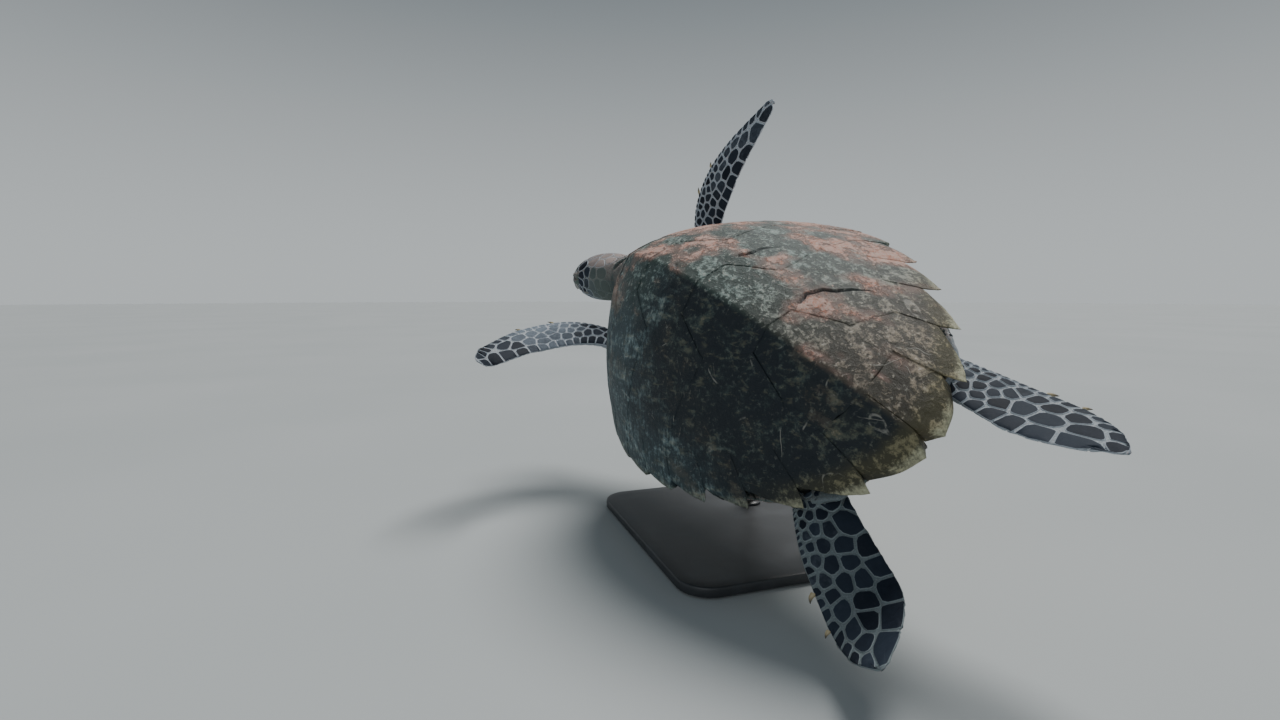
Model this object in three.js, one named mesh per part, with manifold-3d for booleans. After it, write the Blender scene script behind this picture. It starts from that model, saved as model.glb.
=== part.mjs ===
// A swimming hawksbill sea turtle, life size, held by a plain display stand.
//
// Millimetres, +Z up. The origin is at the middle of the underside of the stand's base.
// The turtle is modelled in a body frame of its own: x towards its head, y to its left, z out
// through its back, with the shell's rim near z = 0. Two nested groups then lift, pitch and
// bank that frame. Each piece is one closed faceted solid in a mesh of its own.

import * as THREE from 'three';
import { mergeVertices } from 'three/addons/utils/BufferGeometryUtils.js';
import Module from 'manifold-3d';

const wasm = await Module();
wasm.setup();

// ---------------------------------------------------------------------------
// Driving dimensions
// ---------------------------------------------------------------------------

const SHELL_LENGTH = 700; // straight, nuchal edge to tail notch
const SHELL_HALF_WIDTH = 240;
const SHELL_TAPER = 0.167; // how much wider the front half is than the rear
const DOME_HEIGHT = 180;
const DOME_PEAK = 0.694; // below 1 moves the highest point forwards
const KEEL_SHARE = 0.2; // share of the dome that is a straight-sided ridge
const RIM_LIFT_FRONT = 24; // how far the rim rises over the neck
const RIM_DROP_REAR = 16; // how far it drops towards the tail

const CLIMB = THREE.MathUtils.degToRad(8.9); // nose-up pitch of the swim
const BANK = THREE.MathUtils.degToRad(48.2); // roll, left side down
const BODY_PLACE = { x: -45, y: -15, z: 290 }; // body frame's origin, which puts the weight over the base

const PLATE = 6.5; // thickness of a shell plate, measured straight down
const GAP = 0.4; // clearance between neighbouring solids
const STEP_HEIGHT = 2.4; // how far a plate's rear edge stands over the next one

const PLASTRON_DEPTH = 86; // flat middle of the belly plates below the rim
const MARGINAL_COUNT = 11; // marginal plates on each side, without the supracaudal
const NUCHAL_HALF = 52; // half width of the neck plate along the rim
const SUPRACAUDAL = 74; // length of each tail plate along the rim

const HALF = SHELL_LENGTH / 2;

// ---------------------------------------------------------------------------
// Finishes
// ---------------------------------------------------------------------------

/** A plain material from a colour, a roughness and a metalness. */
function finish(color, roughness, metalness = 0) {
  return new THREE.MeshStandardMaterial({ color, roughness, metalness });
}

const PLATE_GREEN = finish(0x66706a, 0.6);
const MARGIN_OLIVE = finish(0x8a8460, 0.55);
const BELLY_CREAM = finish(0xcdbf93, 0.6);
const SKIN_GREY = finish(0x6c7a76, 0.7);
const FLIPPER_SLATE = finish(0x3a4453, 0.6);
const BEAK_HORN = finish(0x4a4436, 0.4);
const EYE_DARK = finish(0x101012, 0.1);
const CLAW_HORN = finish(0xb8ad8c, 0.45);
const STAND_PAINT = finish(0x2b2d30, 0.5, 0.4);

// ---------------------------------------------------------------------------
// Small tools
// ---------------------------------------------------------------------------

const clamp = THREE.MathUtils.clamp;
const lerp = THREE.MathUtils.lerp;
const vec = (x, y, z) => new THREE.Vector3(x, y, z);

/** Evenly spaced numbers from a to b, both ends included. */
function steps(a, b, count) {
  return Array.from({ length: count + 1 }, (_, i) => lerp(a, b, i / count));
}

/** Reads a smooth profile of [position, value] stops at one position. */
function profile(stops, at) {
  const last = stops.length - 1;
  if (at <= stops[0][0]) return stops[0][1];
  if (at >= stops[last][0]) return stops[last][1];
  const i = stops.findIndex(([x]) => x > at) - 1;
  const [x0, y0] = stops[i];
  const [x1, y1] = stops[i + 1];
  const before = stops[Math.max(0, i - 1)];
  const after = stops[Math.min(last, i + 2)];
  const slope0 = (y1 - before[1]) / (x1 - before[0]);
  const slope1 = (after[1] - y0) / (after[0] - x0);
  const w = x1 - x0;
  const t = (at - x0) / w;
  const t2 = t * t;
  const t3 = t2 * t;
  return (2 * t3 - 3 * t2 + 1) * y0 + (t3 - 2 * t2 + t) * w * slope0
    + (3 * t2 - 2 * t3) * y1 + (t3 - t2) * w * slope1;
}

/** A geometry from a list of Vector3 and a flat list of triangle corners. */
function meshOf(points, triangles) {
  const geometry = new THREE.BufferGeometry();
  geometry.setAttribute('position', new THREE.BufferAttribute(
    new Float32Array(points.flatMap((p) => [p.x, p.y, p.z])), 3));
  geometry.setIndex(triangles);
  return geometry;
}

/** Turns a geometry into a solid for joining and cutting. */
function toSolid(geometry) {
  let bare = geometry.clone();
  bare.deleteAttribute('normal');
  bare.deleteAttribute('uv');
  bare = mergeVertices(bare, 1e-3);
  return new wasm.Manifold(new wasm.Mesh({
    numProp: 3,
    vertProperties: new Float32Array(bare.attributes.position.array),
    triVerts: new Uint32Array(bare.index.array),
  }));
}

/** Turns a solid back into a geometry. */
function toGeometry(solid) {
  const mesh = solid.getMesh();
  const geometry = new THREE.BufferGeometry();
  geometry.setAttribute('position', new THREE.BufferAttribute(new Float32Array(mesh.vertProperties), 3));
  geometry.setIndex(new THREE.BufferAttribute(new Uint32Array(mesh.triVerts), 1));
  return geometry;
}

/** The largest body of a solid, dropping the crumbs that a cut leaves. */
function largest(solid) {
  return solid.decompose().sort((a, b) => b.volume() - a.volume())[0];
}

/**
 * Joins rings of points into a closed skin. Every ring runs the same way round, anticlockwise
 * as seen from ahead of the last ring, and each end is closed with a fan.
 */
function loft(rings) {
  const n = rings[0].length;
  const points = rings.flat();
  const triangles = [];
  for (let r = 0; r < rings.length - 1; r += 1) {
    for (let i = 0; i < n; i += 1) {
      const a = r * n + i;
      const b = r * n + ((i + 1) % n);
      triangles.push(a, b, b + n, a, b + n, a + n);
    }
  }
  const cap = (ring, offset, flip) => {
    const centre = points.length;
    points.push(ring.reduce((sum, p) => sum.add(p), vec(0, 0, 0)).divideScalar(n));
    for (let i = 0; i < n; i += 1) {
      const a = offset + i;
      const b = offset + ((i + 1) % n);
      triangles.push(...(flip ? [centre, b, a] : [centre, a, b]));
    }
  };
  cap(rings[0], 0, true);
  cap(rings[rings.length - 1], (rings.length - 1) * n, false);
  return meshOf(points, triangles);
}

/** A large box whose face lies on a plane, filling the side that the normal points to. */
function halfSpace(point, normal, size = 600) {
  const box = new THREE.BoxGeometry(size, size, size);
  box.translate(0, 0, size / 2);
  const turn = new THREE.Quaternion().setFromUnitVectors(vec(0, 0, 1), normal.clone().normalize());
  box.applyQuaternion(turn);
  box.translate(point.x, point.y, point.z);
  return toSolid(box);
}

// ---------------------------------------------------------------------------
// The shell's surface
// ---------------------------------------------------------------------------

/** The rim's half width at a place along the shell. */
function rimHalfWidth(x) {
  const c = clamp(x / HALF, -1, 1);
  return SHELL_HALF_WIDTH * Math.sqrt(Math.max(0, 1 - c * c)) * (1 + SHELL_TAPER * c);
}

/** The rim's height. */
function rimHeight(x) {
  const c = clamp(x / HALF, -1, 1);
  return c > 0 ? RIM_LIFT_FRONT * c * c : -RIM_DROP_REAR * c * c;
}

/** The height of the shell's outer face over a place in its plan. */
function shellHeight(x, y) {
  const along = clamp((HALF - x) / SHELL_LENGTH, 0, 1);
  const spine = DOME_HEIGHT * Math.sin(Math.PI * along ** DOME_PEAK) ** 0.8;
  const across = Math.min(1, Math.abs(y) / Math.max(rimHalfWidth(x), 1e-6));
  const arch = (1 - KEEL_SHARE) * (1 - across * across) + KEEL_SHARE * (1 - across);
  return rimHeight(x) + spine * arch;
}

/** A place in the plan by angle round the rim, 0 at the neck, and share of the way out. */
function planPoint(angle, out) {
  const c = Math.cos(angle);
  return {
    x: HALF * out * c,
    y: SHELL_HALF_WIDTH * out * Math.sin(angle) * (1 + SHELL_TAPER * c),
  };
}

/** Angles at which the seams between marginal plates meet the rim, neck to tail. */
function marginalSeams() {
  const count = 720;
  const lengths = [0];
  for (let i = 1; i <= count; i += 1) {
    const p = planPoint(((i - 1) * Math.PI) / count, 1);
    const q = planPoint((i * Math.PI) / count, 1);
    lengths.push(lengths[i - 1] + Math.hypot(q.x - p.x, q.y - p.y));
  }
  const total = lengths[count];
  const angleAt = (length) => {
    const i = lengths.findIndex((l) => l >= length);
    return (i * Math.PI) / count;
  };
  return steps(NUCHAL_HALF, total - SUPRACAUDAL, MARGINAL_COUNT).map(angleAt);
}

const SEAMS = marginalSeams();

/** How far out the seam between costal and marginal plates runs. */
function bandStart(angle) {
  const side = Math.sin(angle) ** 2;
  const rear = Math.max(0, -Math.cos(angle));
  return 0.87 - 0.02 * side - 0.05 * rear;
}

/** How deep the notch behind each marginal plate's corner is, as a share of the half width. */
function notchDepth(angle) {
  const rear = clamp((angle / Math.PI - 0.38) / 0.4, 0, 1);
  return 0.006 + 0.054 * rear * rear * (3 - 2 * rear);
}

// ---------------------------------------------------------------------------
// Shell plates
// ---------------------------------------------------------------------------

/** Splits the sides of a polygon so that no stretch is longer than a limit. */
function subdivide(corners, limit) {
  return corners.flatMap((p, i) => {
    const q = corners[(i + 1) % corners.length];
    const count = Math.max(1, Math.ceil(Math.hypot(q.x - p.x, q.y - p.y) / limit));
    return steps(0, 1, count).slice(0, -1).map((t) => ({ x: lerp(p.x, q.x, t), y: lerp(p.y, q.y, t) }));
  });
}

/** Twice the signed area of a polygon: above 0 when it runs anticlockwise. */
function signedArea(outline) {
  return outline.reduce((sum, p, i) => {
    const q = outline[(i + 1) % outline.length];
    return sum + p.x * q.y - q.x * p.y;
  }, 0);
}

/** Moves every side of a polygon inwards, so that neighbouring plates keep a gap. */
function inset(outline, amount) {
  const n = outline.length;
  const way = Math.sign(signedArea(outline));
  const inward = (p, q) => {
    const length = Math.hypot(q.x - p.x, q.y - p.y) || 1;
    return { x: (-way * (q.y - p.y)) / length, y: (way * (q.x - p.x)) / length };
  };
  return outline.map((p, i) => {
    const a = inward(outline[(i + n - 1) % n], p);
    const b = inward(p, outline[(i + 1) % n]);
    const mitre = amount / Math.max(0.35, 1 + a.x * b.x + a.y * b.y);
    return { x: p.x + (a.x + b.x) * mitre, y: p.y + (a.y + b.y) * mitre };
  });
}

/**
 * A plate over an outline in the plan. Rings of the outline shrink to its middle; top and
 * underside are functions of the place.
 */
function plate(outline, top, underside, ringShares = [1, 0.68, 0.34]) {
  const n = outline.length;
  const middle = {
    x: outline.reduce((sum, p) => sum + p.x, 0) / n,
    y: outline.reduce((sum, p) => sum + p.y, 0) / n,
  };
  const ordered = signedArea(outline) > 0 ? outline : [...outline].reverse();
  const points = [];
  const triangles = [];
  const layer = (height, flip) => {
    const start = points.length;
    ringShares.forEach((share) => ordered.forEach((p) => {
      const x = lerp(middle.x, p.x, share);
      const y = lerp(middle.y, p.y, share);
      points.push(vec(x, y, height(x, y)));
    }));
    points.push(vec(middle.x, middle.y, height(middle.x, middle.y)));
    const face = (a, b, c) => triangles.push(...(flip ? [a, c, b] : [a, b, c]));
    for (let i = 0; i < n; i += 1) {
      const j = (i + 1) % n;
      for (let r = 0; r < ringShares.length - 1; r += 1) {
        const outer = start + r * n;
        const inner = outer + n;
        face(outer + i, outer + j, inner + j);
        face(outer + i, inner + j, inner + i);
      }
      const last = start + (ringShares.length - 1) * n;
      face(last + i, last + j, points.length - 1);
    }
    return start;
  };
  const upper = layer(top, false);
  const lower = layer(underside, true);
  for (let i = 0; i < n; i += 1) {
    const j = (i + 1) % n;
    triangles.push(upper + i, lower + i, lower + j, upper + i, lower + j, upper + j);
  }
  return meshOf(points, triangles);
}

/** The outer face of a dorsal plate, rising a little towards its rear edge. */
function steppedTop(frontX, rearX) {
  return (x, y) => shellHeight(x, y) + STEP_HEIGHT * clamp((frontX - x) / (frontX - rearX), 0, 1);
}

const plateUnderside = (x, y) => shellHeight(x, y) - PLATE;

/** A dorsal plate over a polygon in the plan. */
function dorsalPlate(corners, limit = 42) {
  const xs = corners.map((p) => p.x);
  const outline = inset(subdivide(corners, limit), GAP);
  return plate(outline, steppedTop(Math.max(...xs), Math.min(...xs)), plateUnderside);
}

/** Points on the seam between the costal and marginal plates, from one angle to another. */
function bandLine(from, to, side, count = 4) {
  return steps(from, to, count).map((angle) => {
    const p = planPoint(angle, bandStart(angle));
    return { x: p.x, y: side * p.y };
  });
}

// Where the plates along the back meet: x of each cross seam, half width there, and the half
// width of each vertebral plate at its widest.
const VERTEBRAL_SEAMS = [304, 196, 74, -52, -172];
const SEAM_HALF_WIDTH = [46, 47, 46, 42, 32];
const VERTEBRAL_CORNERS = [
  { x: 262, y: 84 },
  { x: 136, y: 84 },
  { x: 12, y: 82 },
  { x: -112, y: 72 },
  { x: -226, y: 56 },
];
const NUCHAL_ANGLE = SEAMS[0];
const SHOULDER_ANGLE = SEAMS[1]; // where the first vertebral plate ends on the marginal ring
const TAIL_ANGLE = SEAMS[MARGINAL_COUNT];
// Marginal seams at which the costal plates' own seams arrive.
const COSTAL_ENDS = [1, 3, 5, 7, 10];

/** The outline of a vertebral plate. */
function vertebralOutline(i) {
  const front = VERTEBRAL_SEAMS[i];
  const frontHalf = SEAM_HALF_WIDTH[i];
  const corner = VERTEBRAL_CORNERS[i];
  const frontEdge = i === 0
    ? [...bandLine(SHOULDER_ANGLE, NUCHAL_ANGLE, 1, 1), ...bandLine(NUCHAL_ANGLE, 0, 1, 2).slice(1),
      ...bandLine(0, NUCHAL_ANGLE, -1, 2).slice(1), ...bandLine(NUCHAL_ANGLE, SHOULDER_ANGLE, -1, 1).slice(1)]
    : [{ x: front, y: frontHalf }, { x: front, y: 0 }, { x: front, y: -frontHalf }];
  if (i === 4) {
    const left = bandLine(SEAMS[10], TAIL_ANGLE, 1, 2);
    const right = bandLine(SEAMS[10], TAIL_ANGLE, -1, 2);
    const middle = planPoint(Math.PI, bandStart(Math.PI));
    return [...frontEdge, { x: corner.x, y: -corner.y }, ...right, middle, ...left.reverse(), corner];
  }
  const rear = VERTEBRAL_SEAMS[i + 1];
  const rearHalf = SEAM_HALF_WIDTH[i + 1];
  const rearEdge = [{ x: rear, y: -rearHalf }, { x: rear, y: 0 }, { x: rear, y: rearHalf }];
  return i === 0 ? [...frontEdge, ...rearEdge]
    : [...frontEdge, { x: corner.x, y: -corner.y }, ...rearEdge, corner];
}

/** The outline of a costal plate on one side (+1 left, -1 right). */
function costalOutline(i, side) {
  const inner = VERTEBRAL_CORNERS[i];
  const next = VERTEBRAL_CORNERS[i + 1];
  const seam = { x: VERTEBRAL_SEAMS[i + 1], y: SEAM_HALF_WIDTH[i + 1] };
  const outer = bandLine(SEAMS[COSTAL_ENDS[i]], SEAMS[COSTAL_ENDS[i + 1]], 1);
  const corners = [...(i === 0 ? [] : [inner]), seam, next, ...outer.reverse()];
  return corners.map((p) => ({ x: p.x, y: side * p.y }));
}

const RIM_THICKNESS = 5; // of the marginal ring at its outer edge
const RIM_ROUNDING = 2; // how far its upper face drops over the last tenth

/** The underside of the marginal ring: a wedge that thins to its outer edge. */
function marginUnderside(x, y) {
  return Math.min(rimHeight(x) - RIM_THICKNESS, shellHeight(x, y) - PLATE);
}

/** The outer face of the marginal ring, with each plate stepped over the next. */
function marginTop(from, to) {
  return (x, y) => {
    const angle = Math.atan2(Math.abs(y) / SHELL_HALF_WIDTH, x / HALF);
    const along = clamp((angle - from) / (to - from), 0, 1);
    const edge = Math.hypot(x / HALF, y / SHELL_HALF_WIDTH);
    return shellHeight(x, y) + STEP_HEIGHT * along - RIM_ROUNDING * clamp((edge - 0.9) / 0.1, 0, 1);
  };
}

/** The outline of some neighbouring marginal plates, each reaching the rim at its rear corner. */
function marginalOutline(first, last, side) {
  const inner = bandLine(SEAMS[first], SEAMS[last], 1, 2 * (last - first));
  const outer = [];
  for (let k = first; k < last; k += 1) {
    const from = SEAMS[k];
    const to = SEAMS[k + 1];
    const notch = notchDepth((from + to) / 2);
    outer.push(planPoint(from, 1 - notch));
    outer.push(planPoint(lerp(from, to, 0.5), 1 - 0.35 * notch));
    outer.push(planPoint(lerp(from, to, 0.9), 1));
    if (k === last - 1) outer.push(planPoint(to, 1 - notch));
  }
  return [...inner, ...outer.reverse()].map((p) => ({ x: p.x, y: side * p.y }));
}

/** A group of marginal plates. */
function marginals(first, last, side) {
  const outline = inset(marginalOutline(first, last, side), GAP);
  return plate(outline, marginTop(SEAMS[first], SEAMS[last]), marginUnderside, [1, 0.5]);
}

/** One of the two tail plates, whose tip stands beside the tail notch. */
function supracaudal(side) {
  const inner = bandLine(TAIL_ANGLE, Math.PI, 1, 2);
  const outer = [planPoint(TAIL_ANGLE, 0.95), planPoint(lerp(TAIL_ANGLE, Math.PI, 0.4), 0.985),
    planPoint(lerp(TAIL_ANGLE, Math.PI, 0.8), 1), planPoint(Math.PI, 0.955)];
  const outline = [...inner, ...outer.reverse()].map((p) => ({ x: p.x, y: side * p.y }));
  return plate(inset(outline, GAP), marginTop(TAIL_ANGLE, Math.PI), marginUnderside, [1, 0.5]);
}

/** The neck plate at the front of the shell. */
function nuchal() {
  const rear = [...bandLine(NUCHAL_ANGLE, 0, 1, 2), ...bandLine(0, NUCHAL_ANGLE, -1, 2).slice(1)];
  const half = [planPoint(NUCHAL_ANGLE, 1), planPoint(NUCHAL_ANGLE / 2, 1)];
  const mirrored = half.map((p) => ({ x: p.x, y: -p.y }));
  const outline = [...rear, ...mirrored, { x: HALF - 3, y: 0 }, ...half.reverse()];
  return plate(inset(outline, GAP), marginTop(0, NUCHAL_ANGLE * 3), marginUnderside, [1, 0.5]);
}

// ---------------------------------------------------------------------------
// The belly plates
// ---------------------------------------------------------------------------

const BRIDGE_HALF = 172; // half width of the belly plates at the bridge, their widest
const PLASTRON_WIDTHS = [[-262, 26], [-215, 70], [-120, 112], [0, BRIDGE_HALF], [90, BRIDGE_HALF], [180, 112],
  [240, 62]];
// Each cross band's rear and front edge along the body.
const PLASTRON_BANDS = {
  gular: [176, 240],
  pectoral: [84, 176],
  abdominal: [-28, 84],
  femoral: [-140, -28],
  anal: [-262, -140],
};

/** The plastron's half width: widest at the bridge, narrow at both ends. */
function plastronHalfWidth(x) {
  return profile(PLASTRON_WIDTHS, x);
}

/** The height of the plastron's lower face: flat in the middle, rising to its edges and ends. */
function plastronHeight(x, y) {
  const across = clamp((Math.abs(y) / BRIDGE_HALF - 0.25) / 0.75, 0, 1);
  const front = clamp((x - 150) / 90, 0, 1);
  const rear = clamp((-x - 160) / 100, 0, 1);
  return -PLASTRON_DEPTH + 40 * across ** 2 + 18 * front ** 2 + 30 * rear ** 2;
}

/** One cross band of the plastron. */
function plastronBand(rear, front) {
  const left = steps(rear, front, 3).map((x) => ({ x, y: plastronHalfWidth(x) }));
  const right = left.map((p) => ({ x: p.x, y: -p.y })).reverse();
  const endsWith = (x) => ({ x, y: 0 });
  const outline = [...left, endsWith(front), ...right, endsWith(rear)].reverse();
  const halfway = (p, q) => ({ x: (p.x + q.x) / 2, y: (p.y + q.y) / 2 });
  const full = outline.flatMap((p, i) => {
    const q = outline[(i + 1) % outline.length];
    return Math.abs(p.y - q.y) > 50 ? [p, halfway(p, q)] : [p];
  });
  return plate(inset(full, GAP), (x, y) => plastronHeight(x, y) + PLATE, plastronHeight, [1, 0.62, 0.3]);
}

// ---------------------------------------------------------------------------
// Flippers
// ---------------------------------------------------------------------------

/** A smooth curve through a list of [x, y, z] places. */
function curveThrough(spine) {
  return new THREE.CatmullRomCurve3(spine.map((p) => vec(...p)), false, 'centripetal');
}

/** The middle of a flipper at one place, the way it runs there and the way its leading edge points. */
function flipperFrame(shape, s) {
  const curve = curveThrough(shape.spine);
  const along = curve.getTangentAt(s);
  const lead = shape.lead.clone().addScaledVector(along, -shape.lead.dot(along)).normalize();
  lead.applyAxisAngle(along, THREE.MathUtils.degToRad(shape.twist));
  return { centre: curve.getPointAt(s), along, lead };
}

/**
 * Cross sections of a flipper. shape.spine: control points from joint to tip; chord and
 * thickness: profiles over the length; lead: the way the leading edge would point if
 * untwisted; twist: turn about the spine, in degrees.
 */
function flipperRings(shape, grow = 0, stations = 13, corners = 12) {
  return steps(0, 1, stations).map((s) => {
    const { centre, along, lead } = flipperFrame(shape, s);
    if (s === 0) centre.addScaledVector(along, -grow);
    const over = new THREE.Vector3().crossVectors(along, lead);
    const chord = profile(shape.chord, s) / 2 + grow;
    const thickness = profile(shape.thickness, s) / 2 + grow;
    return steps(0, 2 * Math.PI, corners).slice(0, -1).map((turn) => {
      const c = Math.cos(turn);
      const fullness = lerp(1, 0.8 + 0.3 * c, clamp(s * 3, 0, 1));
      return centre.clone().addScaledVector(lead, chord * c)
        .addScaledVector(over, thickness * Math.sin(turn) * fullness);
    });
  });
}

const FRONT_CHORD = [[0, 62], [0.14, 60], [0.3, 64], [0.45, 80], [0.6, 82], [0.78, 64], [0.92, 36], [1, 8]];
const FRONT_THICKNESS = [[0, 48], [0.14, 44], [0.3, 30], [0.45, 18], [0.6, 13], [0.8, 9], [1, 3]];
const HIND_CHORD = [[0, 50], [0.2, 66], [0.45, 80], [0.65, 84], [0.85, 62], [0.95, 36], [1, 10]];
const HIND_THICKNESS = [[0, 40], [0.2, 30], [0.45, 15], [0.65, 10], [0.85, 7], [1, 3]];

const FLIPPERS = {
  flipper_front_left: {
    spine: [[252, 108, -38], [314, 117, -31], [361, 120, 34], [391, 156, 90], [377, 225, 154],
      [314, 282, 204], [230, 298, 236]],
    chord: FRONT_CHORD,
    thickness: FRONT_THICKNESS,
    lead: vec(1, 0, 0),
    twist: -22,
  },
  flipper_front_right: {
    spine: [[252, -108, -38], [318, -124, -33], [368, -144, -2], [376, -186, 48], [322, -256, 108],
      [212, -362, 167]],
    chord: FRONT_CHORD,
    thickness: FRONT_THICKNESS,
    lead: vec(1, 0, 0),
    twist: 18,
  },
  flipper_hind_left: {
    spine: [[-225, 92, -34], [-300, 131, -40], [-374, 165, -62], [-458, 188, -15]],
    chord: HIND_CHORD,
    thickness: HIND_THICKNESS,
    lead: vec(0, 1, 0),
    twist: -10,
  },
  flipper_hind_right: {
    spine: [[-225, -88, -34], [-300, -90, -54], [-382, -85, -59], [-479, -74, -39]],
    chord: HIND_CHORD,
    thickness: HIND_THICKNESS,
    lead: vec(0, -1, 0),
    twist: -33,
  },
};

// Each claw's place along its flipper, its length and its radius at the root.
const FRONT_CLAWS = [[0.5, 15, 4.2], [0.62, 11, 3.4]];
const HIND_CLAWS = [[0.5, 12, 3.6], [0.64, 9, 3]];
const CLAW_ROOT_DEPTH = 3; // how far inside the leading edge a claw starts

/** A claw on a flipper's leading edge: a short cone that leans towards the tip. */
function claw(shape, at, length, radius) {
  const { centre, along, lead } = flipperFrame(shape, at);
  const root = centre.clone().addScaledVector(lead, profile(shape.chord, at) / 2 - CLAW_ROOT_DEPTH);
  const aim = lead.clone().multiplyScalar(0.8).addScaledVector(along, 0.75).normalize();
  const cone = new THREE.ConeGeometry(radius, length, 8);
  cone.translate(0, length / 2, 0);
  cone.applyQuaternion(new THREE.Quaternion().setFromUnitVectors(vec(0, 1, 0), aim));
  cone.translate(root.x, root.y, root.z);
  const body = toSolid(loft(flipperRings(shape, GAP)));
  return toGeometry(largest(toSolid(cone).subtract(body)));
}

// ---------------------------------------------------------------------------
// Head and neck
// ---------------------------------------------------------------------------

const HEAD_CENTRE = vec(531, 33, 92);
const HEAD_SCALE = 1.04;
const HEAD_YAW = THREE.MathUtils.degToRad(23); // turned to its left
const HEAD_PITCH = THREE.MathUtils.degToRad(11.5); // raised
const HEAD_ROLL = THREE.MathUtils.degToRad(25); // rolled level against the bank

// Along the head, from the back of the skull to the tip of the beak.
const HEAD_HALF_WIDTH = [[-88, 44], [-66, 50], [-36, 52], [0, 50], [24, 40], [44, 28], [62, 18],
  [78, 9], [86, 3]];
const HEAD_TOP = [[-88, 38], [-60, 45], [-25, 48], [8, 45], [32, 37], [52, 27], [70, 15], [82, 3], [86, -4]];
const HEAD_BOTTOM = [[-88, -43], [-50, -46], [-10, -42], [20, -35], [46, -27], [66, -22],
  [80, -20], [86, -16]];
const HEAD_STATIONS = [-88, -70, -50, -28, -6, 14, 30, 44, 56, 67, 77, 86];
const BEAK_FRONT = 41; // where the horny beak starts, along the head
const MOUTH_BACK = -16; // the corner of the mouth
const MOUTH_HEIGHT = -13;
const EYE_PLACE = vec(21, 32, 13);
const EYE_RADIUS = 13.5;

/** Places something built in the head's own frame. */
function headMatrix() {
  const turn = new THREE.Matrix4().makeRotationZ(HEAD_YAW)
    .multiply(new THREE.Matrix4().makeRotationY(-HEAD_PITCH))
    .multiply(new THREE.Matrix4().makeRotationX(HEAD_ROLL));
  return new THREE.Matrix4().makeTranslation(HEAD_CENTRE.x, HEAD_CENTRE.y, HEAD_CENTRE.z)
    .multiply(turn).multiply(new THREE.Matrix4().makeScale(HEAD_SCALE, HEAD_SCALE, HEAD_SCALE));
}

/** The whole head as one solid in its own frame, before it is parted. */
function wholeHead() {
  const rings = HEAD_STATIONS.map((x) => {
    const half = profile(HEAD_HALF_WIDTH, x);
    const top = profile(HEAD_TOP, x);
    const bottom = profile(HEAD_BOTTOM, x);
    const middle = (top + bottom) / 2;
    const height = (top - bottom) / 2;
    return steps(0, 2 * Math.PI, 18).slice(0, -1).map((turn) => {
      const c = Math.cos(turn);
      const s = Math.sin(turn);
      const y = half * Math.sign(c) * Math.abs(c) ** 0.85;
      return vec(x, y, middle + height * Math.sign(s) * Math.abs(s) ** 0.9);
    });
  });
  return toSolid(loft(rings));
}

/** Parts the head into skull, jaw and the two horny halves of the beak. */
function headPieces() {
  const whole = wholeHead();
  const beak = vec(1, 0, 0.25);
  const mouth = vec(0.06, 0, 1);
  const half = GAP / 2;
  const side = (point, normal, sign) => {
    const unit = normal.clone().normalize().multiplyScalar(sign);
    return halfSpace(point.clone().addScaledVector(unit, half), unit);
  };
  const beakAt = vec(BEAK_FRONT, 0, MOUTH_HEIGHT);
  const mouthAt = vec(0, 0, MOUTH_HEIGHT);
  const backAt = vec(MOUTH_BACK, 0, MOUTH_HEIGHT);
  const back = vec(1, 0, -0.7);
  const upper = whole.intersect(side(beakAt, beak, 1)).intersect(side(mouthAt, mouth, 1));
  const below = whole.intersect(side(mouthAt, mouth, -1));
  const lower = below.intersect(side(beakAt, beak, 1));
  const jaw = below.intersect(side(beakAt, beak, -1)).intersect(side(backAt, back, 1));
  const above = whole.intersect(side(mouthAt, mouth, 1)).intersect(side(beakAt, beak, -1));
  const behind = whole.intersect(side(backAt, back, -1)).intersect(side(beakAt, beak, -1));
  const skull = above.add(behind);
  const socket = (sign) => {
    const ball = new THREE.SphereGeometry(EYE_RADIUS + GAP, 12, 8);
    ball.translate(EYE_PLACE.x, sign * EYE_PLACE.y, EYE_PLACE.z);
    return toSolid(ball);
  };
  return {
    head: largest(skull.subtract(socket(1)).subtract(socket(-1))),
    upper_beak: largest(upper),
    lower_beak: largest(lower),
    lower_jaw: largest(jaw),
  };
}

/** Rings of a round tube that changes size along a curve. */
function tubeRings(spine, width, height, grow = 0, stations = 7, corners = 16) {
  const curve = curveThrough(spine);
  return steps(0, 1, stations).map((s) => {
    const along = curve.getTangentAt(s);
    const centre = curve.getPointAt(s).addScaledVector(along, s === 0 ? -grow : 0);
    const across = vec(0, 1, 0).addScaledVector(along, -along.y).normalize();
    const over = new THREE.Vector3().crossVectors(along, across);
    const w = profile(width, s) / 2 + grow;
    const h = profile(height, s) / 2 + grow;
    return steps(0, 2 * Math.PI, corners).slice(0, -1).map((turn) => centre.clone()
      .addScaledVector(across, w * Math.cos(turn)).addScaledVector(over, h * Math.sin(turn)));
  });
}

const HEAD_BACK = vec(-86, 0, -3).applyMatrix4(headMatrix());
const NECK = {
  spine: [[246, 0, -34], [335, 1, -34], [394, 0, 4], HEAD_BACK.toArray()],
  width: [[0, 122], [0.4, 118], [0.75, 106], [1, 94]],
  height: [[0, 82], [0.35, 76], [0.75, 88], [1, 84]],
};

const TAIL = {
  spine: [[-240, 0, -35], [-290, 0, -35], [-324, 0, -36]],
  width: [[0, 46], [0.5, 32], [1, 8]],
  height: [[0, 24], [0.5, 20], [1, 6]],
};

// ---------------------------------------------------------------------------
// The trunk inside the shell
// ---------------------------------------------------------------------------

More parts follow.
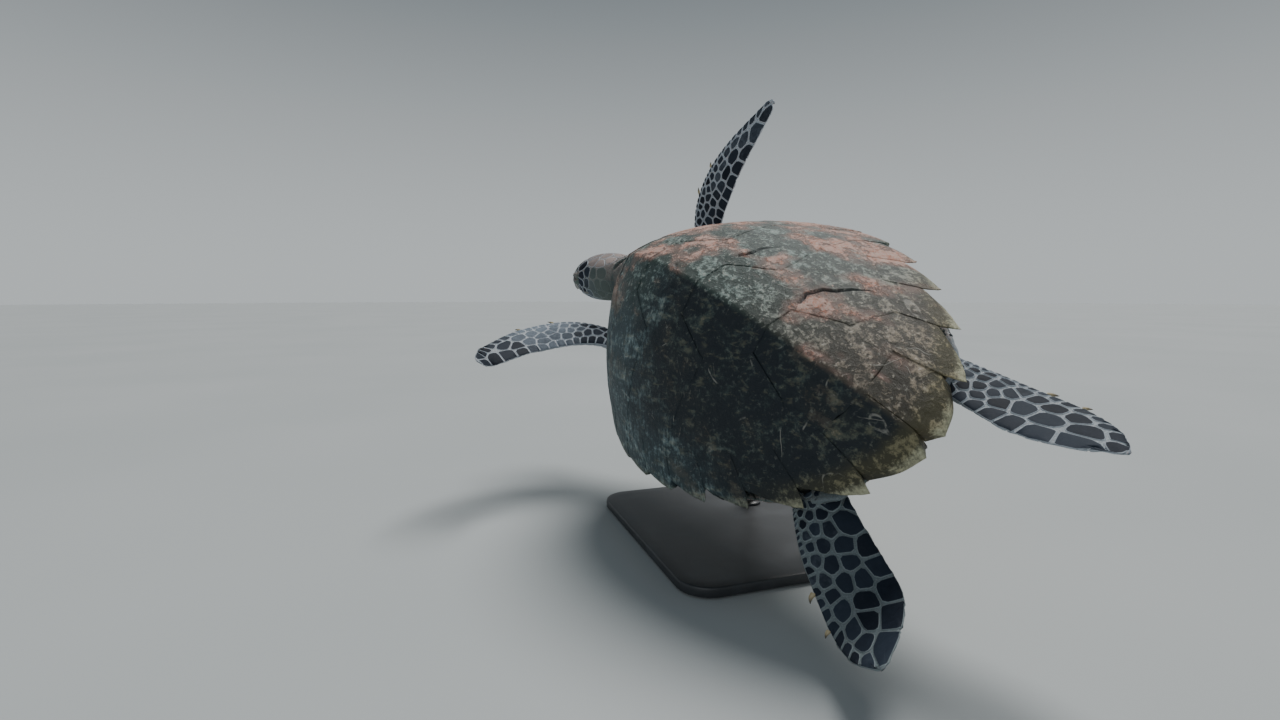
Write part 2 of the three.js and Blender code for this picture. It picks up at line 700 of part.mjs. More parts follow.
const TRUNK_STATIONS = [-296, -281.5, -279.5, -262, -225, -170, -105, -40, 30, 100, 165, 222, 262, 286, 298];
const SHELL_CLEARANCE = 3; // room between the trunk and the plates round it
const BELLY_CLEARANCE = 9;
const BELLY_REACH = { rear: -255, front: 232 }; // the trunk's floor is level beyond these
const NARROWEST = 36; // half width below which the trunk stays under the marginal plates
const MARGIN_REACH = 0.9; // how far out the trunk reaches under the marginal plates

/** Half the room between the inner faces of the marginal ring at a place along the shell. */
function innerHalfWidth(x) {
  const out = bandStart(Math.acos(clamp(x / HALF, -1, 1)));
  const c = clamp(x / (HALF * out), -1, 1);
  return SHELL_HALF_WIDTH * out * Math.sqrt(1 - c * c) * (1 + SHELL_TAPER * c);
}

/** One cross section of the trunk: under the back plates and over the belly plates. */
function trunkSection(x) {
  const across = 8;
  const inner = Math.max(8, innerHalfWidth(x) - 7);
  const outer = Math.max(inner + 4, rimHalfWidth(x) * MARGIN_REACH);
  const plastronHalf = Math.max(12, Math.min(plastronHalfWidth(x), outer - 8));
  const edge = rimHeight(x) - 8;
  const inside = innerHalfWidth(x) > NARROWEST;
  const roof = (y) => (inside ? Math.max(edge + 2, shellHeight(x, y) - PLATE - SHELL_CLEARANCE) : edge + 1);
  const overBelly = clamp(x, BELLY_REACH.rear, BELLY_REACH.front);
  const belly = (y) => plastronHeight(overBelly, Math.min(Math.abs(y), plastronHalf)) + PLATE + BELLY_CLEARANCE;
  const floor = (y) => {
    const beyond = clamp((Math.abs(y) - plastronHalf) / (outer - plastronHalf), 0, 1);
    return Math.min(edge - 4, lerp(belly(y), edge - 6, beyond ** 1.4));
  };
  const top = [vec(x, outer, edge), vec(x, inner + 1, edge),
    ...steps(inner, -inner, across).map((y) => vec(x, y, roof(y))),
    vec(x, -inner - 1, edge), vec(x, -outer, edge)];
  const reach = [outer - 1, (outer + plastronHalf) / 2, plastronHalf, plastronHalf * 0.66, plastronHalf * 0.33];
  const bottom = [...reach.map((y) => -y), 0, ...reach.reverse()].map((y) => vec(x, y, floor(y)));
  return [...top, ...bottom];
}

/** The trunk, with a socket for each limb, the neck and the tail. */
function trunk(sockets) {
  const rings = TRUNK_STATIONS.map(trunkSection);
  return sockets.reduce((body, socket) => body.subtract(socket), toSolid(loft(rings)));
}

// ---------------------------------------------------------------------------
// The stand
// ---------------------------------------------------------------------------

const BASE = { length: 400, width: 300, height: 16, corner: 45, bevel: 2 };
const ROD_RADIUS = 9;
const ROD_ROOTS = { stand_rod_front: 105, stand_rod_rear: -105 }; // along the belly's midline

/** The base: a flat plate with rounded corners and a small chamfer at its top edge. */
function standBase() {
  const { length, width, height, corner, bevel } = BASE;
  const rings = [[0, 0], [height - bevel, 0], [height, bevel]].map(([z, pull]) => {
    const hx = length / 2 - pull;
    const hy = width / 2 - pull;
    const r = corner - pull;
    const centres = [[hx - r, hy - r, 0], [r - hx, hy - r, 1], [r - hx, r - hy, 2], [hx - r, r - hy, 3]];
    return centres.flatMap(([cx, cy, quarter]) => steps(0, 1, 5).map((t) => {
      const turn = ((quarter + t) * Math.PI) / 2;
      return vec(cx + r * Math.cos(turn), cy + r * Math.sin(turn), z);
    }));
  });
  return loft(rings);
}

/** A rod from the base up to the belly plates, cut off along their plane. */
function standRod(foot, planePoint, planeNormal) {
  const sides = 20;
  const reach = (x, y) => planePoint.z
    - ((x - planePoint.x) * planeNormal.x + (y - planePoint.y) * planeNormal.y) / planeNormal.z;
  const ring = (height) => steps(0, 2 * Math.PI, sides).slice(0, -1).map((turn) => {
    const x = foot.x + ROD_RADIUS * Math.cos(turn);
    const y = foot.y + ROD_RADIUS * Math.sin(turn);
    return vec(x, y, height === null ? reach(x, y) : height);
  });
  return loft([ring(BASE.height + GAP), ring(null)]);
}

// ---------------------------------------------------------------------------
// Assembly
// ---------------------------------------------------------------------------

const model = new THREE.Group();
model.name = 'hawksbill_turtle';
const lifted = new THREE.Group();
lifted.position.set(BODY_PLACE.x, BODY_PLACE.y, BODY_PLACE.z);
lifted.rotation.y = -CLIMB;
const body = new THREE.Group();
body.rotation.x = -BANK;
lifted.add(body);
model.add(lifted);

/** Adds one named piece. */
function add(parent, name, geometry, material) {
  const mesh = new THREE.Mesh(geometry, material);
  mesh.name = name;
  parent.add(mesh);
  return mesh;
}

// Shell plates of the back.
add(body, 'nuchal', nuchal(), PLATE_GREEN);
for (let i = 0; i < 5; i += 1) {
  add(body, `vertebral_${i + 1}`, dorsalPlate(vertebralOutline(i)), PLATE_GREEN);
}
for (const [sideName, side] of [['left', 1], ['right', -1]]) {
  for (let i = 0; i < 4; i += 1) {
    add(body, `costal_${sideName}_${i + 1}`, dorsalPlate(costalOutline(i, side)), PLATE_GREEN);
  }
  for (const [first, last] of [[0, 2], [2, 4], [4, 6], [6, 8], [8, 9], [9, 10], [10, 11]]) {
    const label = last - first === 1 ? `${last}` : `${first + 1}_${last}`;
    add(body, `marginal_${sideName}_${label}`, marginals(first, last, side), MARGIN_OLIVE);
  }
  add(body, `supracaudal_${sideName}`, supracaudal(side), MARGIN_OLIVE);
}

// Belly plates.
for (const [name, [rear, front]] of Object.entries(PLASTRON_BANDS)) {
  add(body, `plastron_${name}`, plastronBand(rear, front), BELLY_CREAM);
}

// Limbs, neck, tail and the trunk that holds them.
const neckSolid = toSolid(loft(tubeRings(NECK.spine, NECK.width, NECK.height)));
const sockets = [
  toSolid(loft(tubeRings(NECK.spine, NECK.width, NECK.height, GAP))),
  toSolid(loft(tubeRings(TAIL.spine, TAIL.width, TAIL.height, GAP, 5, 10))),
];
for (const [name, shape] of Object.entries(FLIPPERS)) {
  add(body, name, loft(flipperRings(shape)), FLIPPER_SLATE);
  sockets.push(toSolid(loft(flipperRings(shape, 2 * GAP))));
  const claws = name.includes('front') ? FRONT_CLAWS : HIND_CLAWS;
  claws.forEach(([at, length, radius], i) => {
    add(body, `${name.replace('flipper', 'claw')}_${i + 1}`, claw(shape, at, length, radius), CLAW_HORN);
  });
}
add(body, 'tail', loft(tubeRings(TAIL.spine, TAIL.width, TAIL.height, 0, 5, 10)), SKIN_GREY);
add(body, 'trunk', toGeometry(largest(trunk(sockets))), SKIN_GREY);

// Head, beak and eyes.
const pieces = headPieces();
const headPlace = headMatrix();
const headSpace = halfSpace(vec(-88 - GAP, 0, 0), vec(-1, 0, 0));
for (const [name, solid] of Object.entries(pieces)) {
  const material = name.includes('beak') ? BEAK_HORN : SKIN_GREY;
  add(body, name, toGeometry(solid).applyMatrix4(headPlace), material);
}
for (const [name, sign] of [['eye_left', 1], ['eye_right', -1]]) {
  const ball = new THREE.SphereGeometry(EYE_RADIUS, 12, 8);
  ball.translate(EYE_PLACE.x, sign * EYE_PLACE.y, EYE_PLACE.z);
  add(body, name, ball.applyMatrix4(headPlace), EYE_DARK);
}
const behindHead = toSolid(toGeometry(headSpace).applyMatrix4(headPlace));
add(body, 'neck', toGeometry(largest(neckSolid.intersect(behindHead))), SKIN_GREY);

// The stand, in the upright frame.
model.updateMatrixWorld(true);
const bellyNormal = vec(0, 0, 1).transformDirection(body.matrixWorld);
add(model, 'stand_base', standBase(), STAND_PAINT);
for (const [name, along] of Object.entries(ROD_ROOTS)) {
  const top = vec(along, 0, -PLASTRON_DEPTH - GAP).applyMatrix4(body.matrixWorld);
  add(model, name, standRod(top, top, bellyNormal), STAND_PAINT);
}

export default model;
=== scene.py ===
"""A life-size museum model of a swimming hawksbill sea turtle on a plain display stand.

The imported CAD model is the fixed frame. The turtle is drawn in a body frame of its own, in
millimetres: x towards its head, y to its left, z out through its back. BodyFrame turns that
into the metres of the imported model, so every piece lands where its solid is.
"""

import logging
import math
from dataclasses import dataclass, field
from enum import Enum
from itertools import product
from typing import Callable, Iterable, Iterator, Sequence

import bmesh
import bpy
import numpy as np
from bpy.types import ID, Material, Mesh, Node, NodeSocket, NodeTree, Object
from mathutils import Matrix, Vector
from mathutils.bvhtree import BVHTree
from mathutils.geometry import delaunay_2d_cdt


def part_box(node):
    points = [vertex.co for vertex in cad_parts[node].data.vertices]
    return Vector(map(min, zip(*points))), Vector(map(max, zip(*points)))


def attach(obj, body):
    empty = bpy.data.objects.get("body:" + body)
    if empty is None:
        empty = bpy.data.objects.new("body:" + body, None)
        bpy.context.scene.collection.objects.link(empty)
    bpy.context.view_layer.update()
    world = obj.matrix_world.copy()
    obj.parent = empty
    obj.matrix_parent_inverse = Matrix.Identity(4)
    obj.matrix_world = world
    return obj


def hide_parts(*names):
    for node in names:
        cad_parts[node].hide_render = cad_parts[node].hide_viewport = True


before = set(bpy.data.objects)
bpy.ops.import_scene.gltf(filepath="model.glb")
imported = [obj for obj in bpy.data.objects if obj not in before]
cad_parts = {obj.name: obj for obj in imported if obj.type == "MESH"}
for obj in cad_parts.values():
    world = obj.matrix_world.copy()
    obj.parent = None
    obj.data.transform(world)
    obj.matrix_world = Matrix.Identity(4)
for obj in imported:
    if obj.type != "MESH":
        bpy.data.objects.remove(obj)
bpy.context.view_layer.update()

logging.basicConfig(level=logging.INFO, format="%(name)s: %(message)s")
LOG = logging.getLogger("turtle")

Array = np.ndarray
Stops = Sequence[tuple[float, float]]
Colour = tuple[float, float, float]

MM = 0.001  # one millimetre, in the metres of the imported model
UP = np.array([0.0, 0.0, 1.0])
SIDES = (("left", 1.0), ("right", -1.0))  # the turtle's two sides and the sign of y on them


# ---- Shapes: profiles, curves, noise and outlines ----


def read_profile(stops: Stops, at: Array | float) -> Array:
    """Reads a smooth curve through (position, value) stops.

    Args:
        stops: Positions in rising order, each with its value.
        at: Where to read.

    Returns:
        The value at each place; the end values beyond the ends.
    """
    x = np.array([s[0] for s in stops], float)
    y = np.array([s[1] for s in stops], float)
    at = np.clip(np.asarray(at, float), x[0], x[-1])
    i = np.clip(np.searchsorted(x, at, side="right") - 1, 0, len(x) - 2)
    before, after = np.maximum(i - 1, 0), np.minimum(i + 2, len(x) - 1)
    slope0 = (y[i + 1] - y[before]) / (x[i + 1] - x[before])
    slope1 = (y[after] - y[i]) / (x[after] - x[i])
    width = x[i + 1] - x[i]
    t = (at - x[i]) / width
    t2, t3 = t * t, t * t * t
    return ((2 * t3 - 3 * t2 + 1) * y[i] + (t3 - 2 * t2 + t) * width * slope0
            + (3 * t2 - 2 * t3) * y[i + 1] + (t3 - t2) * width * slope1)


def smooth_step(low: float, high: float, at: Array) -> Array:
    """0 below low, 1 above high and a smooth rise between them."""
    t = np.clip((np.asarray(at, float) - low) / (high - low), 0, 1)
    return t * t * (3 - 2 * t)


def cubic(t: Array, start: Array, leaving: Array, end: Array, arriving: Array) -> Array:
    """A smooth run from start to end, with the way it leaves and arrives, for t from 0 to 1."""
    return ((2 * t ** 3 - 3 * t ** 2 + 1) * start + (t ** 3 - 2 * t ** 2 + t) * leaving
            + (3 * t ** 2 - 2 * t ** 3) * end + (t ** 3 - t ** 2) * arriving)


def full_turn(count: int) -> Array:
    """Evenly spaced angles, once round."""
    return np.linspace(0, 2 * np.pi, count, endpoint=False)


def unit(vectors: Array) -> Array:
    """The same vectors at length 1."""
    return vectors / np.maximum(np.linalg.norm(vectors, axis=-1, keepdims=True), 1e-12)


def value_noise(points: Array, size: float, seed: int) -> Array:
    """Smooth noise from 0 to 1 that repeats exactly for the same seed.

    Args:
        points: An (n, 3) array.
        size: How far apart its bumps are, in the points' units.
        seed: Which noise.

    Returns:
        One number for each point.
    """
    cell = np.asarray(points, float) / size
    base = np.floor(cell).astype(np.int64)
    share = cell - base
    share = share * share * (3 - 2 * share)
    total = np.zeros(len(cell))
    for corner in product((0, 1), repeat=3):
        at = base + np.array(corner)
        code = (at[:, 0] * 73856093) ^ (at[:, 1] * 19349663) ^ (at[:, 2] * 83492791) ^ (seed * 40503)
        code = (code ^ (code >> 13)) * 1274126177 & 0xFFFFFFFF
        code = (code ^ (code >> 16)) * 2246822519 & 0xFFFFFFFF
        weight = np.prod(np.where(corner, share, 1 - share), axis=1)
        total += weight * ((code ^ (code >> 15)) & 0xFFFF) / 65535
    return total


def fractal_noise(points: Array, size: float, seed: int, octaves: int = 4) -> Array:
    """Value noise with finer and finer noise laid over it, from 0 to 1."""
    parts = [value_noise(points, size / 2 ** k, seed + k) * 0.5 ** k for k in range(octaves)]
    return sum(parts) / sum(0.5 ** k for k in range(octaves))


@dataclass
class Spine:
    """A smooth curve through some places, read by share of its length."""

    places: Sequence[Sequence[float]]
    samples: int = 60  # for each stretch between two places
    step: float = 0.004  # the share of the length over which its direction is read

    def __post_init__(self) -> None:
        """Runs a centripetal curve through the places."""
        p = np.array(self.places, float)
        p = np.vstack([2 * p[0] - p[1], p, 2 * p[-1] - p[-2]])
        t = np.linspace(0, 1, self.samples, endpoint=False)[:, None]
        runs = []
        for k in range(1, len(p) - 2):
            p0, p1, p2, p3 = p[k - 1:k + 3]
            d0, d1, d2 = (np.linalg.norm(b - a) ** 0.5 for a, b in ((p0, p1), (p1, p2), (p2, p3)))
            m1 = ((p1 - p0) / d0 - (p2 - p0) / (d0 + d1) + (p2 - p1) / d1) * d1
            m2 = ((p2 - p1) / d1 - (p3 - p1) / (d1 + d2) + (p3 - p2) / d2) * d1
            runs.append(cubic(t, p1, m1, p2, m2))
        self.points = np.vstack([*runs, p[-2][None]])
        steps = np.linalg.norm(np.diff(self.points, axis=0), axis=1)
        self.lengths = np.concatenate([[0], np.cumsum(steps)])
        self.length = float(self.lengths[-1])

    def read(self, share: Array) -> Array:
        """The place at each share of the length, from 0 to 1."""
        at = share * self.length
        return np.stack([np.interp(at, self.lengths, values) for values in self.points.T], 1)

    def place(self, share: Array) -> Array:
        """The place at each share of the length, carried on straight beyond the ends."""
        share = np.atleast_1d(np.asarray(share, float))
        inside = np.clip(share, 0, 1)
        return self.read(inside) + self.way(inside) * ((share - inside) * self.length)[:, None]

    def way(self, share: Array) -> Array:
        """The direction of the curve at each share of the length."""
        share = np.clip(np.atleast_1d(np.asarray(share, float)), 0, 1)
        ends = [self.read(np.clip(share + offset, 0, 1)) for offset in (-self.step, self.step)]
        return unit(ends[1] - ends[0])


def distance_to_outline(points: Array, outline: Array) -> Array:
    """How far each plan point is from the nearest side of a closed outline."""
    best = np.full(len(points), np.inf)
    for a, b in zip(outline, np.roll(outline, -1, axis=0)):
        side = b - a
        t = np.clip(((points - a) @ side) / max(side @ side, 1e-12), 0, 1)
        best = np.minimum(best, np.linalg.norm(points - a - t[:, None] * side, axis=1))
    return best


def inside_outline(points: Array, outline: Array) -> Array:
    """Whether each plan point is inside a closed outline."""
    inside = np.zeros(len(points), bool)
    for (ax, ay), (bx, by) in zip(outline, np.roll(outline, -1, axis=0)):
        crosses = (ay > points[:, 1]) != (by > points[:, 1])
        if ay != by:
            inside ^= crosses & (points[:, 0] < (bx - ax) * (points[:, 1] - ay) / (by - ay) + ax)
    return inside


def outward(outline: Array) -> Array:
    """The outward direction at each corner of an anticlockwise outline."""
    side = unit(np.roll(outline, -1, axis=0) - outline)
    normal = np.stack([side[:, 1], -side[:, 0]], 1)
    return unit(normal + np.roll(normal, 1, axis=0))


def smooth_outline(corners: Array, step: float, sharp: float = 26.0) -> Array:
    """Rounds an outline through its gentle corners and keeps its sharp ones.

    Args:
        corners: The outline, anticlockwise.
        step: The spacing of the new points.
        sharp: The turn, in degrees, from which a corner stays sharp.

    Returns:
        The finer outline.
    """
    n = len(corners)
    side = unit(np.roll(corners, -1, axis=0) - corners)
    turn = np.degrees(np.arccos(np.clip((side * np.roll(side, 1, axis=0)).sum(1), -1, 1)))
    result = []
    for i in range(n):
        p0, p1, p2, p3 = (corners[(i + k) % n] for k in (-1, 0, 1, 2))
        m1 = (p2 - p1) if turn[i] > sharp else (p2 - p0) / 2
        m2 = (p2 - p1) if turn[(i + 1) % n] > sharp else (p3 - p1) / 2
        span = np.linalg.norm(p2 - p1)
        m1, m2 = (m * min(1.0, span / max(np.linalg.norm(m), 1e-9)) for m in (m1, m2))
        count = max(1, int(round(span / step)))
        t = np.linspace(0, 1, count, endpoint=False)[:, None]
        result.append(cubic(t, p1, m1, p2, m2))
    return np.vstack(result)


# ---- The turtle's own frame ----


@dataclass(frozen=True)
class BodyFrame:
    """How the turtle hangs on its stand: lifted, nose up and banked to its left."""

    climb: float = math.radians(8.9)
    bank: float = math.radians(48.2)
    place: tuple[float, float, float] = (-45.0, -15.0, 290.0)

    def turn(self) -> Array:
        """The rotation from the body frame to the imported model's frame."""
        matrix = Matrix.Rotation(-self.climb, 3, "Y") @ Matrix.Rotation(-self.bank, 3, "X")
        return np.array(matrix)

    def to_model(self, points: Array) -> Array:
        """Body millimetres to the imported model's metres."""
        return (np.asarray(points, float) @ self.turn().T + np.array(self.place)) * MM

    def from_model(self, points: Array) -> Array:
        """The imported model's metres to body millimetres."""
        return (np.asarray(points, float) / MM - np.array(self.place)) @ self.turn()


BODY = BodyFrame()


def add_to_scene(name: str, data: ID) -> Object:
    """Makes an object of some data and links it to the scene."""
    made = bpy.data.objects.new(name, data)
    bpy.context.scene.collection.objects.link(made)
    return made


def write_mark(mesh: Mesh, name: str, values: Array) -> None:
    """Stores a number for each point of a mesh, for its finish to read."""
    layer = mesh.attributes.get(name) or mesh.attributes.new(name, "FLOAT", "POINT")
    layer.data.foreach_set("value", np.asarray(values).astype(np.float32))


def read_mark(mesh: Mesh, name: str) -> Array:
    """The numbers that a mesh holds for its points under a name."""
    values = np.zeros(len(mesh.vertices))
    mesh.attributes[name].data.foreach_get("value", values)
    return values


@dataclass
class Sheet:
    """The points, faces and point attributes of a piece while it is being made, in body millimetres."""

    points: list[Array] = field(default_factory=list)
    faces: list[tuple[int, ...]] = field(default_factory=list)
    marks: dict[str, list[Array]] = field(default_factory=dict)
    size: int = 0

    def add(self, points: Array, faces: Iterable[Sequence[int]], **marks: Array) -> None:
        """Adds some points, the faces between them and the marks on them."""
        self.faces.extend(tuple(i + self.size for i in face) for face in faces)
        self.points.append(np.asarray(points, float))
        for name, values in marks.items():
            spread = np.broadcast_to(np.asarray(values, float), (len(points),) + np.shape(values)[1:])
            self.marks.setdefault(name, []).append(spread)
        self.size += len(points)

    def loft(self, rings: Array, **marks: Array | float) -> None:
        """Adds a closed form through some rings, which have the same number of points each."""
        count, around = rings.shape[:2]
        r, i = np.meshgrid(np.arange(count - 1), np.arange(around), indexing="ij")
        a, b = (r * around + i).ravel(), (r * around + (i + 1) % around).ravel()
        quads = np.column_stack([a, b, b + around, a + around]).tolist()
        ends = [list(range(around))[::-1], list(range((count - 1) * around, count * around))]
        self.add(rings.reshape(-1, 3), quads + ends, **marks)

    def build(self, name: str) -> Object:
        """Makes the Blender object, with its place in its mesh."""
        mesh = bpy.data.meshes.new(name)
        mesh.from_pydata(BODY.to_model(np.vstack(self.points)).tolist(), [], self.faces)
        for mark, parts in self.marks.items():
            write_mark(mesh, mark, np.concatenate(parts))
        mesh.shade_smooth()
        mesh.update()
        return add_to_scene(name, mesh)


def publish(piece: Object, material: Material, slot: str, replaced: Sequence[str] = ()) -> Object:
    """Finishes a piece: its material, what it stands for, its body.

    Args:
        piece: The finished piece.
        material: Its finish.
        slot: Not used.
        replaced: The CAD nodes that it stands for.

    Returns:
        The piece.
    """
    piece.data.materials.clear()
    piece.data.materials.append(material)
    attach(piece, "root")
    if replaced:
        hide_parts(*replaced)
    piece.data.calc_loop_triangles()
    LOG.info("%s: %d triangles", piece.name, len(piece.data.loop_triangles))
    return piece


def model_mesh(piece: Object) -> tuple[Array, Array]:
    """The corner places, in body millimetres, and the triangles of a mesh object."""
    mesh = piece.data
    mesh.calc_loop_triangles()
    points = np.zeros(len(mesh.vertices) * 3)
    mesh.vertices.foreach_get("co", points)
    triangles = np.zeros(len(mesh.loop_triangles) * 3, np.int32)
    mesh.loop_triangles.foreach_get("vertices", triangles)
    return BODY.from_model(points.reshape(-1, 3)), triangles.reshape(-1, 3)


def model_normals(piece: Object) -> Array:
    """The way out at each point of a mesh object, in the body frame."""
    normals = np.zeros(len(piece.data.vertices) * 3)
    piece.data.vertex_normals.foreach_get("vector", normals)
    return normals.reshape(-1, 3) @ BODY.turn()


def evaluated(piece: Object, name: str) -> Object:
    """A plain mesh object of a piece with its modifiers applied; the piece itself goes."""
    graph = bpy.context.evaluated_depsgraph_get()
    mesh = bpy.data.meshes.new_from_object(piece.evaluated_get(graph))
    mesh.name = name
    result = add_to_scene(name, mesh)
    bpy.data.objects.remove(piece)
    return result


def merged_node(node: str) -> tuple[Array, Array]:
    """A CAD node's solid with its shared corners merged, in body millimetres."""
    points, triangles = model_mesh(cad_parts[node])
    keys, back = np.unique(np.round(points, 2), axis=0, return_inverse=True)
    triangles = back.reshape(-1)[triangles]
    whole = (triangles[:, 0] != triangles[:, 1]) & (triangles[:, 1] != triangles[:, 2])
    whole &= triangles[:, 0] != triangles[:, 2]
    return keys, triangles[whole]


def plan_outline(node: str) -> Array:
    """The outline in the plan of a shell plate's solid, anticlockwise."""
    points, triangles = merged_node(node)
    a, b, c = (points[triangles[:, k]] for k in range(3))
    up = unit(np.cross(b - a, c - a))[:, 2] > 0.03
    upper = triangles[up]
    sides = {(int(t[k]), int(t[(k + 1) % 3])) for t in upper for k in range(3)}
    after = {p: q for p, q in sides if (q, p) not in sides}
    start = next(iter(sorted(after)))
    loop = [start]
    while after[loop[-1]] != start:
        loop.append(after[loop[-1]])
    return points[loop][:, :2]


# ---- Finishes ----


def paint(code: int) -> Colour:
    """A colour from its 0xRRGGBB code, in linear light."""
    channels = [((code >> shift) & 255) / 255 for shift in (16, 8, 0)]
    return tuple(c / 12.92 if c <= 0.04045 else ((c + 0.055) / 1.055) ** 2.4 for c in channels)


@dataclass(frozen=True)
class Field:
    """A number or a colour that a material works out over the surface."""

    finish: "Finish"
    socket: NodeSocket

    def __add__(self, other: "Input") -> "Field":
        """The sum of two numbers."""
        return self.finish.math("ADD", self, other)

    __radd__ = __add__

    def __sub__(self, other: "Input") -> "Field":
        """What is left of this number."""
        return self.finish.math("SUBTRACT", self, other)

    def __rsub__(self, other: "Input") -> "Field":
        """What this number leaves of another one."""
        return self.finish.math("SUBTRACT", other, self)

    def __mul__(self, other: "Input") -> "Field":
        """The product of two numbers."""
        return self.finish.math("MULTIPLY", self, other)


Input = Field | NodeSocket | float | Colour
Inputs = dict[int | str, Input]


def feed(tree: NodeTree, socket: NodeSocket, value: Input) -> None:
    """Links a node's input or sets its value."""
    value = value.socket if isinstance(value, Field) else value
    if isinstance(value, NodeSocket):
        tree.links.new(value, socket)
    elif isinstance(value, tuple) and socket.type == "RGBA":
        socket.default_value = (*value, 1)
    else:
        socket.default_value = value


def add_node(tree: NodeTree, kind: str, inputs: Inputs | None = None, **settings: object) -> Node:
    """Adds a node to a tree.

    Args:
        tree: The tree.
        kind: The node's type.
        inputs: What each of its inputs is fed, by name or number.
        settings: The node's own settings.

    Returns:
        The node.
    """
    node = tree.nodes.new(kind)
    for name, value in settings.items():
        setattr(node, name, value)
    for name, value in (inputs or {}).items():
        feed(tree, node.inputs[name], value)
    return node


class Finish:
    """A material that is written node by node, with sizes in millimetres."""

    def __init__(self, name: str) -> None:
        """Starts an empty material with one shader."""
        self.material = bpy.data.materials.new(name)
        self.material.use_nodes = True
        self.tree = self.material.node_tree
        self.tree.nodes.clear()
        self.shader = add_node(self.tree, "ShaderNodeBsdfPrincipled")
        add_node(self.tree, "ShaderNodeOutputMaterial", {0: self.shader.outputs[0]})
        place = add_node(self.tree, "ShaderNodeTexCoord").outputs["Object"]
        self.place = self.node("VectorMath", {0: place, "Scale": 1 / MM}, operation="SCALE")
        self.normal: Field | None = None

    def node(self, kind: str, inputs: Inputs, out: int | str = 0, **settings: object) -> Field:
        """Adds a shader node and gives one of its outputs."""
        return Field(self, add_node(self.tree, f"ShaderNode{kind}", inputs, **settings).outputs[out])

    def mark(self, name: str) -> Field:
        """One of the piece's own point attributes."""
        return self.node("Attribute", {}, "Fac", attribute_name=name)

    def vector(self, x: Input, y: Input) -> Field:
        """A place made of two numbers."""
        return self.node("CombineXYZ", {0: x, 1: y})

    def noise(self, size: float, detail: float = 4, rough: float = 0.55, warp: float = 0,
              stretch: tuple[float, float, float] | None = None, at: Field | None = None) -> Field:
        """Noise whose bumps are about size millimetres across, over the piece's place or another one."""
        place = at or self.place
        if stretch:
            place = self.node("VectorMath", {0: place, 1: stretch}, operation="MULTIPLY")
        inputs = {"Vector": place, "Scale": 1 / size, "Detail": detail, "Roughness": rough}
        return self.node("TexNoise", inputs | {"Distortion": warp}, "Fac")

    def cells(self, size: float, feature: str = "F1") -> Field:
        """The distance in a cell pattern whose cells are about size millimetres across."""
        return self.node("TexVoronoi", {"Scale": 1 / size, "Vector": self.place}, "Distance", feature=feature)

    def math(self, operation: str, a: Input, b: Input = 0.0, clamp: bool = False) -> Field:
        """One sum, product or the like of two numbers."""
        return self.node("Math", {0: a, 1: b}, operation=operation, use_clamp=clamp)

    def rise(self, value: Input, low: float, high: float) -> Field:
        """0 where the value is below low, 1 above high, smooth between."""
        return self.node("MapRange", {"Value": value, "From Min": low, "From Max": high},
                         interpolation_type="SMOOTHSTEP")

    def mix(self, share: Input, a: Input, b: Input) -> Field:
        """Colour a where the share is 0 and b where it is 1."""
        return self.node("Mix", {0: share, 6: a, 7: b}, 2, data_type="RGBA")

    def bump(self, height: Input, depth: float, strength: float = 1.0) -> None:
        """Adds some fine relief of a depth in millimetres."""
        inputs = {"Distance": depth * MM, "Strength": strength, "Height": height}
        if self.normal is not None:
            inputs["Normal"] = self.normal
        self.normal = self.node("Bump", inputs)

    def done(self, colour: Input, roughness: Input, **constants: float | Colour) -> Material:
        """Joins the colour, the roughness and the relief to the shader.

        Args:
            colour: The base colour.
            roughness: A number or a socket.
            constants: Values set on the shader's own sockets, with _ for a space.

        Returns:
            The material.
        """
        inputs = {"Base Color": colour, "Roughness": roughness}
        if self.normal is not None:
            inputs["Normal"] = self.normal
        inputs |= {name.replace("_", " "): value for name, value in constants.items()}
        for name, value in inputs.items():
            feed(self.tree, self.shader.inputs[name], value)
        return self.material


@dataclass(frozen=True)
class Palette:
    """Three tones of one stretch of horn, from its darkest to its lightest."""

    deep: Colour
    middle: Colour
    light: Colour


